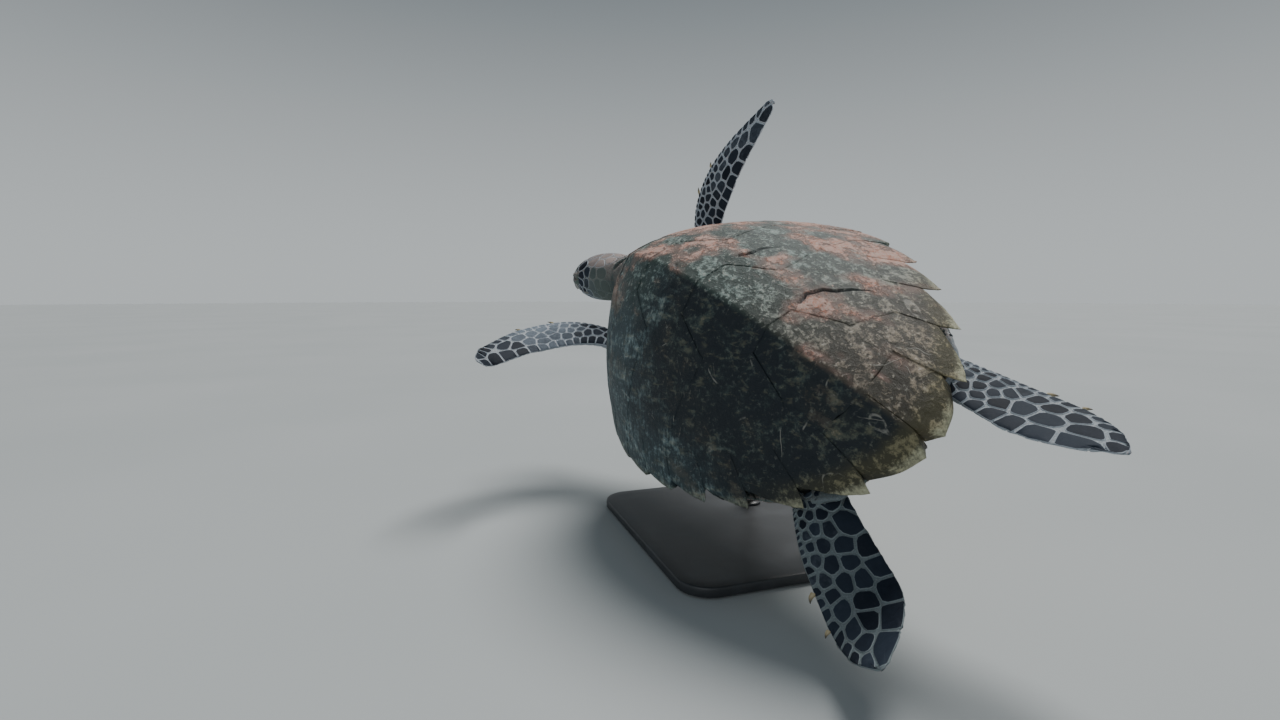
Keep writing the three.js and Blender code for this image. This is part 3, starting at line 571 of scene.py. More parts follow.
@dataclass(frozen=True)
class ShellFinish:
    """The horn plates of the back and its margin, with algae, pink crust, streaks and scratches, and painted
    light and shade: the right half painted lit and the left half painted in shade.
    """

    name: str = "shell_plate"
    margin: bool = False
    # The first palette is the right half's horn painted lit. The second is the left half's horn painted in
    # shade, partly also its real darker algae.
    bright: Palette = Palette(paint(0x36433F), paint(0x85958F), paint(0xCFCEC2))
    painted_shade: Palette = Palette(paint(0x1A2228), paint(0x35403F), paint(0x6C6A57))
    # The flank palette is partly the horn's blue-grey and partly a painted rim reflection on the half in
    # shade.
    flank: Palette = Palette(paint(0x36454A), paint(0x64787C), paint(0xA0ABA9))
    rear: Palette = Palette(paint(0x463E35), paint(0x96826F), paint(0xD6BFAE))
    tail: Palette = Palette(paint(0x4E4A34), paint(0x8F8664), paint(0xC0AC90))
    salmon: Colour = paint(0xC57E64)
    pink: Colour = paint(0xCFA193)
    chalk: Colour = paint(0xC6C3B8)
    # The pale rim colour: partly the horn's own edge, partly painted light shining through the thin horn.
    edge: Colour = paint(0xCFCDAE)

    def tones(self, f: Finish, palette: Palette, share: Input) -> Field:
        """A palette's tones, spread by a share from 0 to 1."""
        colour = f.mix(f.rise(share, 0.36, 0.50), palette.deep, palette.middle)
        return f.mix(f.rise(share, 0.52, 0.66), colour, palette.light)

    @staticmethod
    def scratches(f: Finish, size: float, width: float) -> Field:
        """Thin broken lines that wander over the horn."""
        level = f.math("ABSOLUTE", f.noise(size, 1.0, 0.3, 0.3) - 0.5)
        return f.rise(level, width, width * 0.3) * f.rise(f.noise(size * 0.5, 4, 0.7), 0.54, 0.62)

    def make(self) -> Material:
        """The material, which reads the plates' marks."""
        f = Finish(self.name)
        across, along, rim = f.mark("across"), f.mark("along"), f.mark("rim")
        flame, crust = f.mark("flame"), f.mark("crust")
        coarse = f.noise(24, 6, 0.68, 0.7, stretch=(0.55, 1.0, 1.0))
        fine, grain = f.noise(5.5, 6, 0.72), f.noise(1.5, 4, 0.65)
        streak = f.noise(7, 5, 0.6, 0.3, stretch=(0.22, 1.0, 1.0))
        share = coarse * 0.42 + fine * 0.36 + flame * 0.14 + streak * 0.12
        share = (share - 0.52) * 2.0 + 0.5
        wander = (coarse - 0.5) * 0.5
        onward = along + wander
        # The left half, split sharply at the keel, is painted in shade and is partly darker with real algae;
        # brow keeps the front of it near the keel in the lit tones.
        brow = f.rise(onward, -0.04, 0.18) * f.rise(across, 0.44, 0.14)
        left = f.rise(across + (coarse - 0.5) * 0.05, 0.0, 0.03) * (1.0 - brow * 0.75)
        # side and to_flank lay the lighter flank tones, partly a painted rim reflection, on the front and the
        # outer edge of the left half.
        side = f.rise(across + wander, 0.55, 0.95) * f.rise(along, -0.8, -0.3)
        to_flank = f.math("MAXIMUM", f.rise(onward, -0.14, 0.24), side)
        to_rear = f.rise(along, -0.25, -0.8) * 0.8
        right_tone = f.mix(to_rear, self.tones(f, self.bright, share), self.tones(f, self.rear, share))
        girth = f.noise(5, 5, 0.65, 0.4, stretch=(1.0, 0.24, 0.24))
        flank_share = share + (girth - 0.5) * 0.9
        flank_tone = self.tones(f, self.flank, flank_share)
        left_tone = f.mix(to_flank, self.tones(f, self.painted_shade, share), flank_tone)
        tanned = f.rise(streak + coarse * 0.5, 0.8, 0.96) * 0.4
        left_tone = f.mix(tanned, left_tone, self.painted_shade.light)
        colour = f.mix(left, right_tone, left_tone)
        ragged = crust + (fine - 0.5) * 2.2 + (streak - 0.5) * 1.6
        # The left half keeps less crust, pink wash and chalk dust: partly its real algae, partly painted
        # shade.
        less = 1.0 - left * 0.82
        cover = f.rise(ragged, 0.42, 0.72) * (less * 0.8)
        wash = f.rise(crust, 0.0, 0.6) * (less * 0.3)
        tint = f.noise(9, 5, 0.7)
        growth = f.mix(f.rise(tint, 0.50, 0.60), self.pink, self.salmon)
        growth = f.mix(f.rise(grain, 0.48, 0.6) * 0.6, growth, self.chalk)
        growth = f.mix(left * 0.8, growth, self.painted_shade.light)
        colour = f.mix(cover, f.mix(wash, colour, f.mix(left, self.pink, self.painted_shade.light)), growth)
        dust = f.rise(fine, 0.56, 0.66) * (0.34 - left * 0.26)
        colour = f.mix(dust, colour, self.chalk)
        scratch = f.math("MAXIMUM", self.scratches(f, 70, 0.0055), self.scratches(f, 110, 0.004))
        colour = f.mix(scratch * 0.34, colour, self.chalk)
        # Painted shadow in the cracks' grooves, partly their darker broken horn, in the deepest tone painted
        # in shade.
        colour = f.mix(f.mark("crack") * 0.9, colour, self.painted_shade.deep)
        if self.margin:
            outer = f.rise(rim + coarse * 0.7, 0.25, 0.9)
            tail = f.rise(along + left * 0.2, -0.35, -0.85) * outer
            colour = f.mix(tail * 0.75, colour, self.tones(f, self.tail, share))
            # Paler at the rim, most on the tail margins: partly the horn's own edge, partly painted light
            # shining through the thin horn.
            edging = f.rise(rim + (fine - 0.5) * 0.5, 0.82, 1.1)
            colour = f.mix(edging * (0.22 + tail * 0.6), colour, self.edge)
            lines = f.math("SINE", rim * 52.0 + coarse * 30.0)
            f.bump(lines * f.rise(coarse, 0.62, 0.45), 0.2, 0.35)
        f.bump(coarse, 3.0, 0.7)
        f.bump(fine + cover * 0.8, 1.8, 0.9)
        f.bump(grain + scratch, 0.5, 0.8)
        return f.done(colour, fine * 0.3 + cover * 0.2 + 0.45, Specular_IOR_Level=0.3)


@dataclass(frozen=True)
class BellyFinish:
    """The belly plates: cream-yellow horn with brown smudges."""

    cream: Colour = paint(0xCDBE90)
    yellow: Colour = paint(0xB79F62)
    brown: Colour = paint(0x5A4A34)

    def make(self) -> Material:
        """The material."""
        f = Finish("belly_plate")
        edge = f.mark("edge")
        fine = f.noise(4, 5, 0.6)
        colour = f.mix(f.rise(f.noise(34, 4, 0.6), 0.4, 0.62), self.cream, self.yellow)
        colour = f.mix(f.rise(f.noise(22, 5, 0.6, 0.6), 0.58, 0.68) * 0.6, colour, self.brown)
        colour = f.mix(f.rise(edge, 0.12, 0.0) * 0.6, colour, self.brown)
        f.bump(f.noise(9, 4, 0.6), 0.6, 0.6)
        f.bump(fine, 0.3, 0.6)
        return f.done(colour, fine * 0.3 + 0.35)


# ---- The shell ----


@dataclass(frozen=True)
class ShellForm:
    """The smooth dome that the shell plates follow, in body millimetres."""

    half: float = 350.0  # half the shell's length
    half_width: float = 240.0
    taper: float = 0.167  # how much the widest place lies ahead of the middle
    dome: float = 180.0
    peak: float = 0.694  # below 1, the dome's top lies ahead of the middle
    keel: float = 0.2  # how much the cross section is a roof rather than an arch
    crest: float = 7.0  # the ridge along the middle
    crest_reach: float = 115.0
    lift_front: float = 24.0
    drop_rear: float = 16.0
    plate: float = 6.5  # how thick the plates are
    step: float = 1.4  # how much each plate's rear edge stands over the next plate
    margins: int = 11
    nuchal_half: float = 52.0  # the rim's length from the middle to the neck plate's end
    supracaudal: float = 74.0  # the rim's length of each tail plate

    def rim_half_width(self, x: Array) -> Array:
        """The rim's half width at a place along the shell."""
        c = np.clip(np.asarray(x, float) / self.half, -1, 1)
        return self.half_width * np.sqrt(np.maximum(0, 1 - c * c)) * (1 + self.taper * c)

    def rim_height(self, x: Array) -> Array:
        """The rim's height."""
        c = np.clip(np.asarray(x, float) / self.half, -1, 1)
        return np.where(c > 0, self.lift_front, -self.drop_rear) * c * c

    def height(self, x: Array, y: Array) -> Array:
        """The height of the shell's outer face over a place in its plan."""
        along = np.clip((self.half - x) / (2 * self.half), 0, 1)
        spine = self.dome * np.sin(np.pi * along ** self.peak) ** 0.8
        across = np.minimum(1, np.abs(y) / np.maximum(self.rim_half_width(x), 1e-6))
        arch = (1 - self.keel) * (1 - across * across) + self.keel * (1 - across)
        aside = np.abs(y)
        crest = self.crest * np.maximum(0, 1 - aside / self.crest_reach) ** 1.5 + 1.2 * np.exp(-aside / 5)
        return self.rim_height(x) + spine * arch + crest * np.sin(np.pi * along) ** 0.5

    def plan(self, angle: Array, out: Array) -> Array:
        """A place in the plan by angle round the rim, 0 at the neck, and share of the way out."""
        c, half_width = np.cos(angle), self.half_width * out * np.sin(angle)
        return np.stack([self.half * out * c, half_width * (1 + self.taper * c)], -1)

    def seams(self) -> Array:
        """The angles at which the seams between marginal plates meet the rim, neck to tail."""
        angles = np.linspace(0, np.pi, 721)
        rim = self.plan(angles, np.ones_like(angles))
        lengths = np.concatenate([[0], np.cumsum(np.linalg.norm(np.diff(rim, axis=0), axis=1))])
        marks = np.linspace(self.nuchal_half, lengths[-1] - self.supracaudal, self.margins + 1)
        return angles[np.searchsorted(lengths, marks)]

    def band(self, angle: Array) -> Array:
        """How far out the seam between the costal and marginal plates runs."""
        return 0.87 - 0.02 * np.sin(angle) ** 2 - 0.05 * np.maximum(0, -np.cos(angle))

    def notch(self, angle: float) -> float:
        """How deep the notch behind each marginal plate's corner is."""
        rear = min(1.0, max(0.0, (angle / math.pi - 0.38) / 0.4))
        return 0.006 + 0.054 * rear * rear * (3 - 2 * rear)

    def round_angle(self, x: Array, y: Array) -> Array:
        """The angle round the rim of a place in the plan."""
        return np.arctan2(np.abs(y) / self.half_width, x / self.half)

    def share_out(self, x: Array, y: Array) -> Array:
        """How far out a place in the plan is: 0 at the middle and 1 at the rim."""
        c = np.cos(self.round_angle(x, y))
        return np.hypot(x / self.half, y / (self.half_width * (1 + self.taper * c)))


SHELL = ShellForm()


@dataclass(frozen=True)
class PlateShape:
    """One horn plate: its outline in the plan, its two faces and how it laps over its neighbours."""

    outline: Array
    top: Callable[[Array, Array], Array]
    underside: Callable[[Array, Array], Array]
    seed: int
    lap: float = 0.0  # how far its rear edge hangs over the next plate
    grain: float = 3.4  # the spacing of the points of its outer face
    under_grain: float = 17.0  # and of its inner face
    under_edge: float = 9.0  # how far the inner face's points keep from the edge
    bevel: float = 0.8
    skirt: float = 0.0  # how far the inner edge reaches on towards the body
    cracked: bool = False  # whether the old cracks run over it

    def mesh(self, sheet: Sheet, side: float) -> None:
        """Adds the plate to a sheet as one closed solid.

        Args:
            sheet: What it is added to.
            side: Which side of the body it is on, for its direction of lap.
        """
        original = smooth_outline(self.outline, self.grain * 0.85)
        normal = outward(original)
        rough = value_noise(np.column_stack([original, original[:, 0] * 0]), 7, self.seed)
        back = np.clip(-normal[:, 0] + 0.35 * side * normal[:, 1], 0, 1)
        reach = self.lap * back * (0.55 + 0.75 * rough)
        outline = original + normal * reach[:, None]
        rings = [outline - normal * self.bevel * share for share in (0.8, 2.2)]
        low, high = outline.min(0), outline.max(0)
        grid = self.lattice(low, high, self.grain)
        away = distance_to_outline(grid, outline)
        grid = grid[inside_outline(grid, outline) & (away > self.bevel * 2.2 + self.grain * 0.5)]
        if self.cracked:
            rows = CRACKS.places()
            rows = rows[inside_outline(rows, outline) & (distance_to_outline(rows, outline) > 3)]
            grid = np.vstack([grid, rows])
        inner = np.vstack([r[inside_outline(r, outline)] for r in rings])
        points, faces = self.triangles(outline, np.vstack([inner, grid]))
        edge = distance_to_outline(points, outline)
        edge[:len(outline)] = 0
        x, y = points.T
        relief, marks = self.relief(points, edge)
        drop = self.bevel * np.clip(1 - edge / (self.bevel * 2.2), 0, 1) ** 2
        rising = np.interp(edge, [0, 4], [0.4, 1])
        top = self.top(x, y) + relief * rising - drop
        n = len(outline)
        inner_edge = self.underside(*outline.T) - self.skirt
        lifted = np.where(reach > 0.6, self.top(*outline.T) - SHELL.step * 1.25, inner_edge)
        grid = self.lattice(low, high, self.under_grain)
        deep = distance_to_outline(grid, original)
        grid = grid[inside_outline(grid, original) & (deep > self.under_edge)]
        bottom, bottom_faces = self.triangles(outline, grid)
        below = np.concatenate([lifted, self.underside(*bottom[n:].T)])
        _, under = self.relief(bottom, np.zeros(len(bottom)))
        walls = [(i, len(points) + i, len(points) + (i + 1) % n, (i + 1) % n) for i in range(n)]
        sheet.add(
            np.vstack([np.column_stack([x, y, top]), np.column_stack([bottom, below])]),
            [*faces, *[f[::-1] for f in bottom_faces + len(points)], *walls],
            **{name: np.concatenate([values, under[name]]) for name, values in marks.items()},
        )

    @staticmethod
    def lattice(low: Array, high: Array, step: float) -> Array:
        """Points on a triangular lattice that covers a box in the plan."""
        rows = np.arange(low[1], high[1], step * 0.87)
        columns = np.arange(low[0], high[0], step)
        grid = [(x + (step / 2 if k % 2 else 0), y) for k, y in enumerate(rows) for x in columns]
        return np.array(grid, float).reshape(-1, 2)

    @staticmethod
    def triangles(outline: Array, within: Array) -> tuple[Array, Array]:
        """Joins an outline and the points within it into triangles that face up."""
        places = [Vector(p) for p in np.vstack([outline, within])]
        points, _, faces, source, _, _ = delaunay_2d_cdt(places, [], [list(range(len(outline)))], 1, 1e-4)
        points = np.array(points)
        order = np.argsort([min(s) if s else 10 ** 9 for s in source], kind="stable")
        place = np.empty(len(order), int)
        place[order] = np.arange(len(order))
        points, faces = points[order], place[np.array(faces)]
        a, b, c = (points[faces[:, k]] for k in range(3))
        area = (b - a)[:, 0] * (c - a)[:, 1] - (b - a)[:, 1] * (c - a)[:, 0]
        faces[area < 0] = faces[area < 0][:, ::-1]
        return points, faces

    def relief(self, points: Array, edge: Array) -> tuple[Array, dict[str, Array]]:
        """The plate's surface detail.

        Args:
            points: Places in the plan.
            edge: How far each is from the plate's edge.

        Returns:
            The height to add and the marks for the finish.
        """
        x, y = points.T
        flat = np.column_stack([x, y, np.full(len(x), float(self.seed))])
        whole = np.column_stack([x, y, np.zeros(len(x))])
        middle = points[edge.round(6).argmax()]
        start = np.array([x.min() * 0.6 + middle[0] * 0.4, middle[1] * 0.9])
        ray = points - start
        away = np.linalg.norm(ray, axis=1)
        turn = np.arctan2(ray[:, 1], ray[:, 0])
        fan = np.column_stack([np.cos(turn) * 9, np.sin(turn) * 9, away / 34])
        flame = fractal_noise(fan + self.seed, 1.0, self.seed, 3)
        rings = np.sin(2 * np.pi * (edge + 3 * value_noise(flat, 16, 3)) / 5.4) * np.exp(-edge / 26)
        rays = (value_noise(fan * (2.2, 2.2, 0.4), 1.0, 9) - 0.5) * smooth_step(6, 26, away)
        crust = self.growth(whole)
        lumps = smooth_step(0.3, 0.7, crust) * (0.1 + 1.0 * fractal_noise(whole, 6, 31, 2))
        swell = (fractal_noise(whole, 52, 41, 3) - 0.5) * 2.0
        pits = smooth_step(0.70, 0.80, value_noise(whole, 9, 51)) * -0.5
        relief = swell + 0.26 * rings + 0.5 * rays + lumps + pits
        # dark is the cracks' painted shadow in their grooves, partly their darker broken horn.
        crack, dark = CRACKS.relief(points) if self.cracked else (0.0, np.zeros(len(points)))
        return relief + crack, {
            "crack": dark,
            "edge": np.clip(edge / 30, 0, 1), "flame": flame, "crust": crust,
            "along": x / SHELL.half, "across": y / SHELL.half_width,
            "rim": smooth_step(0.9, 1.0, SHELL.share_out(x, y)),
        }

    @staticmethod
    def growth(points: Array) -> Array:
        """How thick the crust grows at each place: mostly in front, on the right and near the rim."""
        x, y, _ = points.T
        along, across = x / SHELL.half, y / SHELL.half_width
        front = smooth_step(-0.5, 0.6, along)
        pale_side = smooth_step(0.10, -0.35, across - 0.4 * smooth_step(0.1, 0.3, along))
        outer = smooth_step(0.45, 0.85, SHELL.share_out(x, y)) * smooth_step(-1.0, -0.3, along)
        thick = 0.06 + 0.10 * pale_side * (0.3 + 0.7 * front) + 0.10 * front * front
        thick += 0.12 * outer * pale_side
        patches = fractal_noise(points * (0.6, 1.1, 1), 27, 21, 4) * 0.95
        return np.clip((patches + thick - 0.58) / 0.34, 0, 1)


@dataclass(frozen=True)
class Cracks:
    """Broken edges in the horn of the back: a low lip with a dark groove behind it, the groove's darkness
    partly the broken horn and partly painted shadow under the lip.
    """

    lines: tuple[tuple[tuple[float, float], ...], ...] = (
        ((-49, -64), (-54, -79), (-53, -92), (-60, -107)),
        ((-172, -46), (-165, -61), (-169, -79), (-179, -87), (-185, -99), (-196, -112)),
        ((6, -6), (-6, -1), (-15, 3)))  # each by a few plan places
    width: float = 4.6  # how wide the groove behind a broken edge is
    deep: float = 2.6
    tail: float = 34.0  # the length over which an edge tapers off
    lip: float = 1.7  # how high the broken edge itself stands
    fade: float = 13.0  # how far forward its rise reaches
    rows: tuple[float, ...] = (-1.9, -0.6, 0.6, 1.9)  # the extra points on both sides of an edge
    spacing: float = 1.3

    def segments(self) -> Array:
        """Each straight run of every crack, as its two ends."""
        return np.array([pair for line in self.lines for pair in zip(line[:-1], line[1:])], float)

    def places(self) -> Array:
        """Plan places in rows along the cracks, which the plates' surface needs to show them."""
        rows = []
        for a, b in self.segments():
            way = (b - a) / np.linalg.norm(b - a)
            run = a + np.arange(0.5, np.linalg.norm(b - a), self.spacing)[:, None] * way
            rows += [run + offset * np.array([-way[1], way[0]]) for offset in self.rows]
        return np.vstack(rows)

    def relief(self, points: Array) -> tuple[Array, Array]:
        """The cracks' relief.

        Args:
            points: Places in the plan.

        Returns:
            The height to add at each place and how dark it is: painted shadow in the groove, partly its
            darker broken horn.
        """
        ends = self.segments()
        side = ends[:, 1] - ends[:, 0]
        away = points[None] - ends[:, :1]
        t = np.clip((away * side[:, None]).sum(2) / (side ** 2).sum(1)[:, None], 0, 1)
        away = away - t[..., None] * side[:, None]
        gaps = np.linalg.norm(away, axis=2)
        nearest, here = gaps.argmin(0), np.arange(len(points))
        gap = gaps[nearest, here]
        tails = np.array([line[-1] for line in self.lines for _ in line[1:]], float)
        taper = 0.4 + 0.6 * smooth_step(0, self.tail, np.linalg.norm(points - tails[nearest], axis=1))
        width = self.width * taper
        forward = away[nearest, here] @ np.array([1.0, 0.0])
        ahead = smooth_step(-0.5, 0.5, forward)
        groove = smooth_step(width, 0.1 * width, gap)
        lift = self.lip * taper * np.exp(-(gap / self.fade) ** 2) * ahead
        return lift - self.deep * taper * groove * (1 - ahead), groove * (1 - 0.75 * ahead)


CRACKS = Cracks()


@dataclass(frozen=True)
class Carapace:
    """The back of the shell: five vertebral plates and four costal plates a side."""

    vertebrals: int = 5
    costals: int = 4
    lap: float = 5.0

    def outline_top(self, node: str) -> tuple[Array, Callable[[Array, Array], Array]]:
        """A plate's outline and its outer face, which rises towards its rear edge."""
        outline = plan_outline(node)
        front, rear = outline[:, 0].max(), outline[:, 0].min()

        def top(x: Array, y: Array) -> Array:
            """The height of the outer face."""
            return SHELL.height(x, y) + SHELL.step * np.clip((front - x) / (front - rear), 0, 1.1)

        return outline, top

    @staticmethod
    def inner(x: Array, y: Array) -> Array:
        """The inner face of the plates."""
        return SHELL.height(x, y) - SHELL.plate

    def build(self, material: Material) -> None:
        """Makes every plate as a piece of its own."""
        plates = [(f"vertebral_{i + 1}", 0.0) for i in range(self.vertebrals)]
        for name, side in SIDES:
            plates += [(f"costal_{name}_{i + 1}", side) for i in range(self.costals)]
        for seed, (node, side) in enumerate(plates):
            outline, top = self.outline_top(node)
            sheet = Sheet()
            PlateShape(outline, top, self.inner, seed, lap=self.lap, cracked=True).mesh(sheet, side)
            publish(sheet.build(f"plate_{node}"), material, "shell_plate", [node])


@dataclass(frozen=True)
class MarginalRing:
    """The toothed ring of marginal plates, the neck plate and the two tail plates."""

    groups: tuple[tuple[int, int], ...] = ((0, 2), (2, 4), (4, 6), (6, 8), (8, 9), (9, 10), (10, 11))
    thinner: float = 2.6  # how much thinner the outer edge is than its solid
    drop: float = 5.0  # how far the underside lies below the rim
    grain: float = 2.8
    lap: float = 2.5
    first_lap: int = 7  # the first plate that hangs over the next one

    def outline(self, first: int, side: float) -> Array:
        """The plan outline of one marginal plate, with its tip at its rear outer corner."""
        seams = SHELL.seams()
        start, end = seams[first], seams[first + 1]
        notch = SHELL.notch((start + end) / 2)
        inner = SHELL.plan(np.linspace(start, end, 3), SHELL.band(np.linspace(start, end, 3)))
        turns = np.array([end, start + 0.9 * (end - start), start + 0.5 * (end - start), start])
        shares = np.array([1 - notch, 1.0, 1 - 0.35 * notch, 1 - notch])
        outline = np.vstack([inner, SHELL.plan(turns, shares)]) * (1, side)
        return outline if side < 0 else outline[::-1]

    def underside(self, x: Array, y: Array) -> Array:
        """The lower face: a wedge that thins to its outer edge."""
        solid = np.minimum(SHELL.rim_height(x) - self.drop, SHELL.height(x, y) - SHELL.plate)
        return solid + self.thinner * smooth_step(0.93, 1.0, SHELL.share_out(x, y))

    def top(self, start: float, end: float) -> Callable[[Array, Array], Array]:
        """The upper face of one plate, stepped over the next and rounded at the rim."""
        def height(x: Array, y: Array) -> Array:
            """The height of the upper face."""
            along = np.clip((SHELL.round_angle(x, y) - start) / (end - start), 0, 1.1)
            rounding = 2 * np.clip((np.hypot(x / SHELL.half, y / SHELL.half_width) - 0.9) / 0.1, 0, 1)
            return SHELL.height(x, y) + SHELL.step * along - rounding
        return height

    def plate(self, outline: Array, start: float, end: float, seed: int, lap: float = 0.0) -> PlateShape:
        """A plate of the ring, between two angles round the rim."""
        return PlateShape(outline, self.top(start, end), self.underside, seed, lap=lap, grain=self.grain)

    def build(self, material: Material) -> None:
        """Makes the ring, one piece for each CAD node."""
        seams = SHELL.seams()
        for side_name, side in SIDES:
            for first, last in self.groups:
                label = f"{last}" if last - first == 1 else f"{first + 1}_{last}"
                plates = []
                for k in range(first, last):
                    seed, lap = 100 + 20 * (side > 0) + k, self.lap if k >= self.first_lap else 0.0
                    plates.append(self.plate(self.outline(k, side), seams[k], seams[k + 1], seed, lap))
                self.make(f"marginal_{side_name}_{label}", plates, material)
            self.single(f"supracaudal_{side_name}", seams[-1], np.pi, material)
        self.single("nuchal", 0.0, 3 * seams[0], material)

    def single(self, node: str, start: float, end: float, material: Material) -> None:
        """Makes a plate whose outline is its solid's own."""
        self.make(node, [self.plate(plan_outline(node), start, end, 200 + len(node))], material)

    @staticmethod
    def make(node: str, plates: Sequence[PlateShape], material: Material) -> None:
        """Makes the piece of one CAD node from its plates."""
        sheet = Sheet()
        for plate in plates:
            plate.mesh(sheet, 0.0)
        publish(sheet.build(f"plate_{node}"), material, "shell_margin", [node])


@dataclass(frozen=True)
class Plastron:
    """The belly plates, in five cross bands that are each parted along the middle."""

    bands: tuple[str, ...] = ("gular", "pectoral", "abdominal", "femoral", "anal")
    depth: float = 86.0
    bridge_half: float = 172.0
    parting: float = 0.5  # half the groove along the middle
    grain: float = 4.2
    skirt: float = 11.0

    def lower(self, x: Array, y: Array) -> Array:
        """The height of the lower face."""
        across = np.clip((np.abs(y) / self.bridge_half - 0.25) / 0.75, 0, 1)
        front = np.clip((x - 150) / 90, 0, 1)
        rear = np.clip((-x - 160) / 100, 0, 1)
        return -self.depth + 40 * across ** 2 + 18 * front ** 2 + 30 * rear ** 2

    def turned_over(self, x: Array, y: Array) -> Array:
        """The height of the lower face once the body is turned over along its length."""
        return -self.lower(x, y)

    def half(self, whole: Array, side: float) -> Array:
        """One side's part of a band's outline, anticlockwise."""
        half = whole[whole[:, 1] * side > 1]
        ends = [[x, side * self.parting] for x in (half[:, 0].max(), half[:, 0].min())]
        corners = np.vstack([half, ends])
        spread = corners - corners.mean(0)
        return corners[np.argsort(np.arctan2(spread[:, 1], spread[:, 0]))]

    def build(self, material: Material) -> None:
        """Makes each band as a piece with a left and a right plate."""
        for seed, band in enumerate(self.bands):
            whole = plan_outline(f"plastron_{band}") * (1, -1)
            sheet = Sheet()
            for side in (1.0, -1.0):
                # Built with the lower face up, then turned over about the length of the body.
                turned = Sheet()
                plate = PlateShape(self.half(whole, side), self.turned_over,
                                   lambda x, y: self.turned_over(x, y) - SHELL.plate, 300 + seed,
                                   grain=self.grain, skirt=self.skirt)
                plate.mesh(turned, 0.0)
                sheet.add(np.vstack(turned.points) * (1, -1, -1), turned.faces,
                          **{name: np.concatenate(parts) for name, parts in turned.marks.items()})
            node = f"plastron_{band}"
            publish(sheet.build(f"plate_{node}"), material, "belly_plate", [node])


# ---- The limbs, neck, tail and head as smooth forms ----


class Face(Enum):
    """The two faces of a flipper, by the way round its section that each is drawn."""

    OVER = 1.0
    UNDER = -1.0


FRONT_CHORD = ((0, 62), (0.14, 60), (0.3, 64), (0.45, 80), (0.6, 82), (0.78, 62), (0.92, 37), (0.97, 27),
               (1, 14))
FRONT_THICKNESS = ((0, 48), (0.14, 44), (0.3, 30), (0.45, 18), (0.6, 13), (0.8, 9), (1, 3))
HIND_CHORD = ((0, 50), (0.2, 66), (0.45, 80), (0.65, 82), (0.85, 56), (0.95, 27), (1, 6))
HIND_THICKNESS = ((0, 40), (0.2, 30), (0.45, 15), (0.65, 10), (0.85, 7), (1, 3))


@dataclass
class FlipperForm:
    """One flipper: its spine from the joint to the tip and its size along the way."""

    name: str
    places: tuple[tuple[float, float, float], ...]
    chord: Stops  # its width
    thickness: Stops
    lead: tuple[float, float, float]  # roughly the way to its leading edge
    twist: float  # in degrees, round its spine
    tile: tuple[float, float, float, float]  # its part of the bake map: corner, length and width
    dark: Stops  # how dark its markings are
    pale: float = 1.0  # how lit the lines between its plates are painted: lower where the flipper lies in shade, as painted shade
    coat: float = 1.0  # how deep the scales are
    thinnest: float = 1.5
    sides: int = 48  # points round the section
    steps: int = 90  # sections from the joint to the tip

    def __post_init__(self) -> None:
        """Draws the spine."""
        self.spine = Spine(self.places)
        self.length = self.spine.length

    def axes(self, s: Array) -> tuple[Array, Array, Array, Array]:
        """The middle, the way along, the way to the leading edge and the way out of the over face."""
        centre, along = self.spine.place(s), self.spine.way(s)
        lead = np.array(self.lead, float)
        lead = unit(lead - along * (along @ lead)[:, None])
        over = np.cross(along, lead)
        turn = math.radians(self.twist)
        turned = lead * math.cos(turn) + over * math.sin(turn)
        return centre, along, turned, np.cross(along, turned)

    def half_chord(self, s: Array) -> Array:
        """Half the width of the skin, inside the solid by the depth of the scales."""
        return read_profile(self.chord, s) / 2 - self.coat * 0.6

    def half_thickness(self, s: Array) -> Array:
        """Half the thickness of the skin, inside the solid by the depth of the scales."""
        return np.maximum(read_profile(self.thickness, s) / 2 - self.coat, self.thinnest)

    def place(self, s: Array, turn: Array, lift: Array | float = 0.0) -> tuple[Array, Array]:
        """A place on the skin by share of the length and angle round the section, and its normal."""
        s, turn = np.broadcast_arrays(np.asarray(s, float), np.asarray(turn, float))
        centre, _, lead, over = self.axes(s.ravel())
        c, sine = np.cos(turn.ravel())[:, None], np.sin(turn.ravel())[:, None]
        full = 1 + (0.8 + 0.3 * c - 1) * np.clip(3 * s.ravel(), 0, 1)[:, None]
        half = self.half_chord(s.ravel())[:, None]
        deep = self.half_thickness(s.ravel())[:, None] * full
        normal = unit(lead * c / half + over * sine / deep)
        return centre + lead * half * c + over * deep * sine + normal * np.reshape(lift, (-1, 1)), normal

    def on_plan(self, plan: Array, face: Face) -> tuple[Array, Array]:
        """A place on one face from its flattened plan: length in mm and distance from the middle."""
        s = np.clip(plan[:, 0] / self.length, 0, 0.995)
        c = np.clip(plan[:, 1] / self.half_chord(s), -1, 1)
        return self.place(s, face.value * np.arccos(c))

    def rings(self) -> Array:
        """Rings of the skin, from inside the trunk to the tip."""
        shares = np.concatenate([[-0.05], np.linspace(0, 1, self.steps) ** 0.97])
        turns = full_turn(self.sides)
        return np.array([self.place(np.full(self.sides, s), turns)[0] for s in shares])

    def locate(self, points: Array) -> tuple[Array, Array, Array]:
        """Share of the length, place across (1 at the leading edge) and distance from the middle."""
        shares = np.linspace(0, 1, 140)
        centre, _, lead, _ = self.axes(shares)
        gap = np.linalg.norm(points[:, None, :] - centre[None], axis=2)
        nearest = gap.argmin(1)
        across = ((points - centre[nearest]) * lead[nearest]).sum(1) / self.half_chord(shares[nearest])
        return shares[nearest], across, gap.min(1)

    def bake_place(self, s: Array, across: Array, face: Face) -> Array:
        """Where a place on the flipper lies on the flat unwrap of the skin."""
        u0, v0, wide, high = self.tile
        v = (np.clip(across, -1, 1) * 0.5 + 0.5) * 0.46 + (0.5 if face is Face.OVER else 0.02)
        return np.column_stack([u0 + s * wide, v0 + v * high])

    def darkness(self, s: Array, across: Array) -> Array:
        """How dark the markings are: the same for the skin and for its scales."""
        return np.clip(read_profile(self.dark, s) + 0.12 * np.clip(-across, -1, 1), 0, 1)


